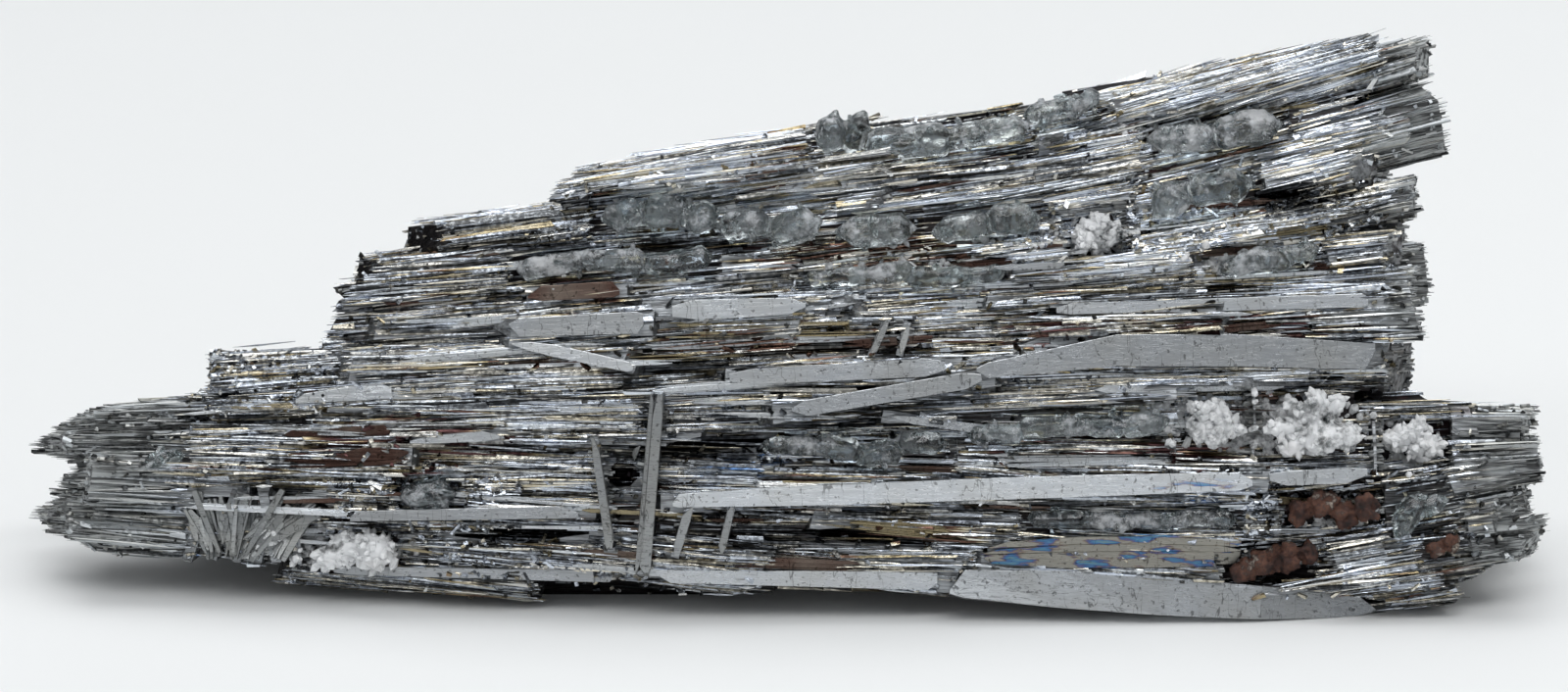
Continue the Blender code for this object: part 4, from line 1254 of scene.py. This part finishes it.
def roundish(name, node, grid, rough, scale, seed):
    """A copy of a node remeshed on a fine grid, smoothed, and roughened."""
    made = object_of(merged(node), name)
    remesh = made.modifiers.new("Fine grid", "REMESH")
    remesh.mode = "VOXEL"
    remesh.voxel_size = grid
    graph = bpy.context.evaluated_depsgraph_get()
    mesh = bpy.data.meshes.new_from_object(made.evaluated_get(graph), depsgraph=graph)
    made.modifiers.clear()
    made.data = mesh
    bm = bmesh.new()
    bm.from_mesh(mesh)
    bmesh.ops.smooth_vert(bm, verts=bm.verts, factor=0.5, use_axis_x=True, use_axis_y=True, use_axis_z=True)
    bm.normal_update()
    shift = Vector((seed * 1.7, seed * 0.9, seed * 2.3))
    heights = [noise.fractal(vert.co * scale + shift, 1.0, 2.0, 4) * rough for vert in bm.verts]
    for vert, height in zip(bm.verts, heights):
        vert.co += vert.normal * height
        vert.co.z = max(vert.co.z, FLOOR_CLEAR)
    bm.to_mesh(mesh)
    bm.free()
    mesh.polygons.foreach_set("use_smooth", [True] * len(mesh.polygons))
    return made


def crystal_cluster(name, node, material, count, seed):
    """Small six-sided crystals with pointed ends, grown outwards from a node's surface."""
    chance = random.Random(seed)
    source = frame["nodes"][node].data
    source.calc_loop_triangles()
    triangles = source.loop_triangles
    areas = [triangle.area for triangle in triangles]
    bm = bmesh.new()
    for _ in range(count):
        pick = chance.choices(triangles, weights=areas)[0]
        corners = [source.vertices[i].co for i in pick.vertices]
        a, b = sorted((chance.random(), chance.random()))
        place = corners[0] * a + corners[1] * (b - a) + corners[2] * (1.0 - b)
        length, width = chance.uniform(0.0004, 0.0010), chance.uniform(0.0003, 0.0007)
        add_crystal(bm, place, pick.normal, length, width, chance)
    settle_on_spray(object_of(bm, name, material))


def add_crystal(bm, place, out, length, width, chance):
    """Adds a six-sided crystal with a pointed end, tilted at random from the direction out."""
    tilt = Vector([chance.uniform(-1.0, 1.0) for _ in range(3)])
    axis = (out + tilt).normalized()
    turn = axis.to_track_quat("Z", "X").to_matrix() @ Matrix.Rotation(chance.uniform(0.0, 1.0), 3, "Z")
    rings = []
    for along, scale in ((-0.4, 0.8), (0.35, 1.0), (0.68, 0.12)):
        ring = []
        for i in range(6):
            angle = math.radians(60.0 * i)
            point = turn @ Vector((math.cos(angle), math.sin(angle), 0.0)) * width * 0.5 * scale
            point += place + axis * length * along
            point.z = max(point.z, FLOOR_CLEAR)
            ring.append(point)
        rings.append(ring)
    shell(bm, rings)


def grain_crystals(name, material, seed):
    """Quartz grains strewn over the face around the larger crystals."""
    chance = random.Random(seed)
    bm = bmesh.new()
    for middle_u, middle_v, reach_u, reach_v, count in GRAINS:
        for _ in range(count):
            angle, away = chance.uniform(0.0, math.tau), chance.random() ** 0.6
            u = middle_u + reach_u * away * math.cos(angle)
            v = middle_v + reach_v * away * math.sin(angle)
            w = reach_out(u, v)
            if w < -1.8:
                continue
            size = chance.uniform(0.00030, 0.00095) * (1.1 - 0.5 * away)
            length = size * chance.uniform(1.0, 1.8)
            add_crystal(bm, face(u, v, w + 0.05) * MM, FACE_OUT, length, size, chance)
    return object_of(bm, name, material)


# ---------------------------------------------------------------- operators


def sizes():
    return bpy.context.scene.spray_sizes


def colours():
    return bpy.context.scene.spray_colours


class SPRAY_OT_solid(bpy.types.Operator):
    """Gives the spray's own solid its dark ribbed finish, with painted shade in its hollows"""

    bl_idname = "spray.solid"
    bl_label = "Finish the solid"

    def execute(self, context):
        mesh = frame["nodes"][SPRAY].data
        mesh.materials.clear()
        mesh.materials.append(deep_finish(colours()))
        return {"FINISHED"}


class SPRAY_OT_fine_blades(bpy.types.Operator):
    """Lays fine needles and blades along the grain all over the spray"""

    bl_idname = "spray.fine_blades"
    bl_label = "Fine blades"

    def execute(self, context):
        s, c = sizes(), colours()
        bright = blade_finish("fine_stibnite", c, 1.9, 0.20)
        # painted shade: a darker copy of the blade finish, for the sunk needles under the others and for the
        # laths on the underside
        dark = blade_finish("stibnite_painted_shade", c, 0.35, 0.34)
        matte = fibre_finish("worn_stibnite", c, 0.5)
        ridge = ((-0.5, -0.5), (0.5, -0.4), (0.15, 0.5))
        slab = ((-0.5, -0.5), (0.5, -0.5), (0.36, 0.5), (-0.36, 0.5))
        flat = ((-0.5, -0.5), (0.5, -0.5), (0.5, 0.25), (0.38, 0.5), (-0.42, 0.5), (-0.5, 0.2))
        tapered = ((-0.5, 0.15, 0.0), (-0.1, 1.0, 0.01), (0.5, 0.25, 0.02))
        needle = unit_blade("needle", slab, tapered)
        ridged = unit_blade("ridged_needle", ridge, tapered)
        lath = unit_blade("lath", flat, ((-0.5, 0.55, 0.03), (0.5, 1.0, -0.04)))
        clear = places_kept_clear()
        deep, low, high = front_share(-2.6), front_share(-1.6, high=15.0), front_share(-1.6, low=15.0)
        # name, blade, finish, where, density, length and width shares, how far sunk, how far proud
        rows = (
            ("needles_dark", ridged, dark, deep, 1.8, 0.9, 1.6, -0.00030, 0.00005),
            ("needles_low", needle, bright, low, 7.0, 1.0, 1.0, -0.00015, 0.00055),
            ("needles_high", needle, bright, high, 7.0, 1.0, 1.0, -0.00015, 0.00055),
            ("laths_low", lath, bright, low, 0.7, 1.1, 0.8, -0.00015, 0.00050),
            ("laths_high", lath, bright, high, 0.7, 1.1, 0.8, -0.00015, 0.00050),
            ("laths_behind", lath, bright, behind, 0.7, 1.0, 1.0, -0.00015, 0.00035),
            ("needles_behind", ridged, bright, behind, 2.0, 1.0, 1.0, -0.00010, 0.00035),
            ("laths_under", lath, dark, under, 0.7, 1.0, 1.0, -0.00015, 0.00030),
            ("needles_worn", ridged, matte, weathered, 8.0, 0.45, 0.9, -0.00008, 0.00010),
        )
        for number, (name, blade, material, wanted, density, long, wide, sunk, proud) in enumerate(rows):
            if blade is lath:
                length, width, thickness, roll, wander = s.blade_length, s.blade_width, 0.00030, 0.35, 0.040
            else:
                length, width, thickness, roll, wander = s.needle_length, s.needle_width, 0.00018, 0.50, 0.050
            grow_blades(
                name,
                blade,
                wanted,
                clear,
                Material=material,
                Density=density * PER_SQUARE_MM,
                Length=length * long,
                Width=width * wide,
                Thickness=thickness,
                Sunk=sunk,
                Proud=proud,
                Roll=roll,
                Wander=wander,
                Sway=0.15,
                Seed=s.seed + number,
            )
        for blade in (needle, ridged, lath):
            bpy.data.objects.remove(blade.shape)
        return {"FINISHED"}


class SPRAY_OT_end_fibres(bpy.types.Operator):
    """Grows short fibres from the broken ends of the spray"""

    bl_idname = "spray.end_fibres"
    bl_label = "End fibres"

    def execute(self, context):
        s, c = sizes(), colours()
        square = ((-0.5, -0.5), (0.5, -0.5), (0.5, 0.5), (-0.5, 0.5))
        fibre = unit_blade("fibre", square, ((-0.5, 1.0, 0.05), (0.5, 0.7, -0.05)))
        rows = (
            ("fibres_broad_end", fibre_finish("broken_end", c, 0.8), broad_end, 0.8),
            ("fibres_tips", fibre_finish("weathered_tips", c, 0.3), narrow_end, 0.45),
        )
        for number, (name, material, wanted, long) in enumerate(rows):
            grow_blades(
                name,
                fibre,
                wanted,
                over_end=0.0007,
                Material=material,
                Density=5.0 * PER_SQUARE_MM,
                Length=s.fibre_length * long,
                Width=s.needle_width * 1.2,
                Thickness=0.00026,
                Sunk=-0.0009,
                Proud=0.0,
                Roll=1.0,
                Wander=0.16,
                Sway=0.25,
                Seed=s.seed + 40 + number,
            )
        bpy.data.objects.remove(fibre.shape)
        return {"FINISHED"}


class SPRAY_OT_chips(bpy.types.Operator):
    """Scatters small broken chips where the surface is crushed"""

    bl_idname = "spray.chips"
    bl_label = "Chips"

    def execute(self, context):
        flake = ((-0.5, -0.4), (0.45, -0.5), (0.5, 0.35), (-0.35, 0.5))
        chip = unit_blade("chip", flake, ((-0.5, 0.8, 0.1), (0.5, 1.0, -0.12)))
        grow_blades(
            "chips",
            chip,
            crushed,
            Material=blade_finish("chipped_stibnite", colours(), 1.3, 0.16),
            Density=12.0 * PER_SQUARE_MM,
            Length=0.0011,
            Width=0.00050,
            Thickness=0.00035,
            Sunk=-0.00005,
            Proud=0.00045,
            Roll=1.6,
            Wander=0.9,
            Sway=0.3,
            Seed=sizes().seed + 60,
        )
        bpy.data.objects.remove(chip.shape)
        return {"FINISHED"}


class SPRAY_OT_broad_blades(bpy.types.Operator):
    """Builds the broad smooth blades and the medium ones between them"""

    bl_idname = "spray.broad_blades"
    bl_label = "Broad blades"

    def execute(self, context):
        c = colours()
        pale = broad_finish("smooth_stibnite", c, (0.79, 0.82, 0.85), 0.30)
        gold = broad_finish("golden_stibnite", c, c.gold, 0.28)
        brown = broad_finish("brown_stibnite", c, (0.13, 0.075, 0.06), 0.26)
        tan = broad_finish("iridescent_stibnite", c, (0.55, 0.53, 0.47), 0.32, 0.85)
        medium = random_blades(70, 31, (0.25, 0.75), (5.0, 18.0), (0.05, 0.45))
        thin = random_blades(50, 32, (0.25, 0.7), (3.0, 11.0), (0.05, 0.40))
        # name, blades, finish, widest strip, unevenness, raggedness of the ends
        rows = (
            ("blades_pale", PALE_BLADES, pale, 2.2, 0.05, 1.4),
            ("blades_golden", GOLD_BLADES, gold, 0.15, 0.50, 6.0),
            ("blades_brown", BROWN_BLADES, brown, 0.9, 0.05, 0.6),
            ("blades_iridescent", TAN_BLADES, tan, 0.9, 0.05, 0.8),
            ("blades_medium", medium, pale, 0.22, 0.22, 2.2),
            ("blades_medium_golden", thin[:12], gold, 0.22, 0.2, 1.5),
            ("blades_medium_brown", thin[12:], brown, 0.25, 0.2, 1.5),
        )
        for number, (name, table, material, strip, step, ragged) in enumerate(rows):
            broad_blades(name, table, material, 21 + number, strip=strip, step=step, ragged=ragged)
        return {"FINISHED"}


class SPRAY_OT_cross_blades(bpy.types.Operator):
    """Builds the blades that lie across the others"""

    bl_idname = "spray.cross_blades"
    bl_label = "Cross blades"

    def execute(self, context):
        grey = broad_finish("cross_stibnite", colours(), (0.50, 0.515, 0.52), 0.36)
        broad_blades("blades_cross", CROSS_BLADES, grey, 28, strip=0.5, ragged=0.4)
        olive = broad_finish("weathered_blades", colours(), (0.42, 0.435, 0.44), 0.42)
        broad_blades("blades_sheaf", sheaf_blades(40, 33), olive, 29, strip=0.45, ragged=0.3, blunt=0.5)
        return {"FINISHED"}


class SPRAY_OT_quartz(bpy.types.Operator):
    """Rounds the quartz crystals and grows the small white ones"""

    bl_idname = "spray.quartz"
    bl_label = "Quartz"

    def execute(self, context):
        c = colours()
        clear = quartz_finish("clear_quartz", c, c.grey, -0.01)
        white = quartz_finish("milky_quartz", c, c.milky, 0.22)
        for number, node in enumerate(QUARTZ):
            material, rough, count = (white, 0.00018, 120) if node in WHITE_QUARTZ else (clear, 0.00022, 9)
            made = roundish("rounded_" + node, node, 0.00016, rough, 620.0, number)
            made.data.materials.append(material)
            settle_on_spray(made)
            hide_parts(node)
            crystal_cluster("points_" + node, node, material, count, number)
        settle_on_spray(grain_crystals("quartz_grains", white, 51))
        return {"FINISHED"}


class SPRAY_OT_iron_oxide(bpy.types.Operator):
    """Builds the crusts and nodules of iron oxide"""

    bl_idname = "spray.iron_oxide"
    bl_label = "Iron oxide"

    def execute(self, context):
        material = oxide_finish(colours())
        for number, node in enumerate(OXIDE):
            made = roundish("crust_" + node, node, 0.00013, 0.00055, 1100.0, number)
            made.data.materials.append(material)
            settle_on_spray(made)
            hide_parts(node)
        return {"FINISHED"}


class SPRAY_OT_studio(bpy.types.Operator):
    """Sets the floor, the lights and the camera"""

    bl_idname = "spray.studio"
    bl_label = "Studio"

    def execute(self, context):
        settings = context.scene.spray_studio
        lay_floor(tuple(settings.floor))
        softbox("overhead", (0.02, 0.16, 0.55), settings.overhead, (0.62, 0.34))
        softbox("front_strip", (0.06, -0.22, 0.46), settings.overhead * 0.72, (0.74, 0.11))
        softbox("left_fill", (-0.60, -0.25, 0.35), settings.overhead * 0.22, (0.30, 0.30))
        softbox("right_fill", (0.60, -0.05, 0.35), settings.overhead * 0.30, (0.30, 0.30))
        surround(context.scene)
        set_camera(context.scene, settings)
        context.scene.view_settings.view_transform = "Standard"
        return {"FINISHED"}


def lay_floor(grey, half=3.0):
    bm = bmesh.new()
    corners = ((-half, -half), (half, -half), (half, half), (-half, half))
    bm.faces.new([bm.verts.new((x, y, 0.0)) for x, y in corners])
    finish = Finish("pale_floor")
    mottle = finish.noise(finish.place, 12.0, 2.0)
    colour = finish.mix(mottle * 0.25, grey, tuple(0.94 * x for x in grey))
    finish.set(Base_Color=colour, Roughness=0.85, Specular_IOR_Level=0.15)
    floor = object_of(bm, "floor", finish.material)


def softbox(name, place, power, size):
    """An oblong soft light aimed at the middle of the spray."""
    data = bpy.data.lights.new(name, "AREA")
    data.shape = "RECTANGLE"
    data.size, data.size_y = size
    data.energy = power
    made = link(name, data)
    made.location = place
    aim = Vector((0.0, 0.0, 0.015)) - Vector(place)
    made.rotation_euler = aim.to_track_quat("-Z", "Y").to_euler()


def surround(scene):
    """Soft light from all round, brighter in front, behind and above, for the faces to mirror."""
    scene.world = bpy.data.worlds.new("studio_walls")
    scene.world.use_nodes = True
    plan = Plan(scene.world.node_tree)
    _, y, z = plan.axes(plan.add("ShaderNodeTexCoord", {}, {}, "Generated"))
    level = 0.08 + (y * y).step(0.50, 0.98) * 0.60 + z.step(0.55, 0.95) * 0.9
    background = plan.tree.nodes["Background"]
    plan.tree.links.new(plan.scaled((0.97, 1.0, 1.03), level).socket, background.inputs["Color"])
    background.inputs["Strength"].default_value = 0.95


def set_camera(scene, settings):
    """A camera that looks square at the broad face."""
    camera = link("camera", bpy.data.cameras.new("camera"))
    camera.data.lens = settings.lens
    camera.data.sensor_width = 36.0
    camera.data.clip_start = 0.01
    turn = Matrix((Vector((1.0, 0.0, 0.0)), FACE_UP, FACE_OUT)).transposed()
    place = face(0.0, CAMERA_V) * MM + FACE_OUT * settings.distance
    camera.matrix_world = Matrix.Translation(place) @ turn.to_4x4()
    scene.camera = camera


class VIEW3D_PT_spray(bpy.types.Panel):
    """Lists the steps and the settings of the spray"""

    bl_label = "Stibnite spray"
    bl_space_type = "VIEW_3D"
    bl_region_type = "UI"
    bl_category = "Spray"

    def draw(self, context):
        for operator in OPERATORS:
            self.layout.operator(operator.bl_idname)
        scene = context.scene
        for settings in (scene.spray_sizes, scene.spray_colours, scene.spray_studio):
            for name in settings.__annotations__:
                self.layout.prop(settings, name)


OPERATORS = (
    SPRAY_OT_solid,
    SPRAY_OT_fine_blades,
    SPRAY_OT_end_fibres,
    SPRAY_OT_chips,
    SPRAY_OT_broad_blades,
    SPRAY_OT_cross_blades,
    SPRAY_OT_quartz,
    SPRAY_OT_iron_oxide,
    SPRAY_OT_studio,
)
CLASSES = (SpraySizes, SprayColours, StudioSettings, *OPERATORS, VIEW3D_PT_spray)


def register():
    for item in CLASSES:
        bpy.utils.register_class(item)
    bpy.types.Scene.spray_sizes = PointerProperty(type=SpraySizes)
    bpy.types.Scene.spray_colours = PointerProperty(type=SprayColours)
    bpy.types.Scene.spray_studio = PointerProperty(type=StudioSettings)


def unregister():
    del bpy.types.Scene.spray_studio
    del bpy.types.Scene.spray_colours
    del bpy.types.Scene.spray_sizes
    for item in reversed(CLASSES):
        bpy.utils.unregister_class(item)


def main():
    register()
    for operator in OPERATORS:
        group, name = operator.bl_idname.split(".")
        getattr(getattr(bpy.ops, group), name)()


if __name__ == "__main__":
    main()
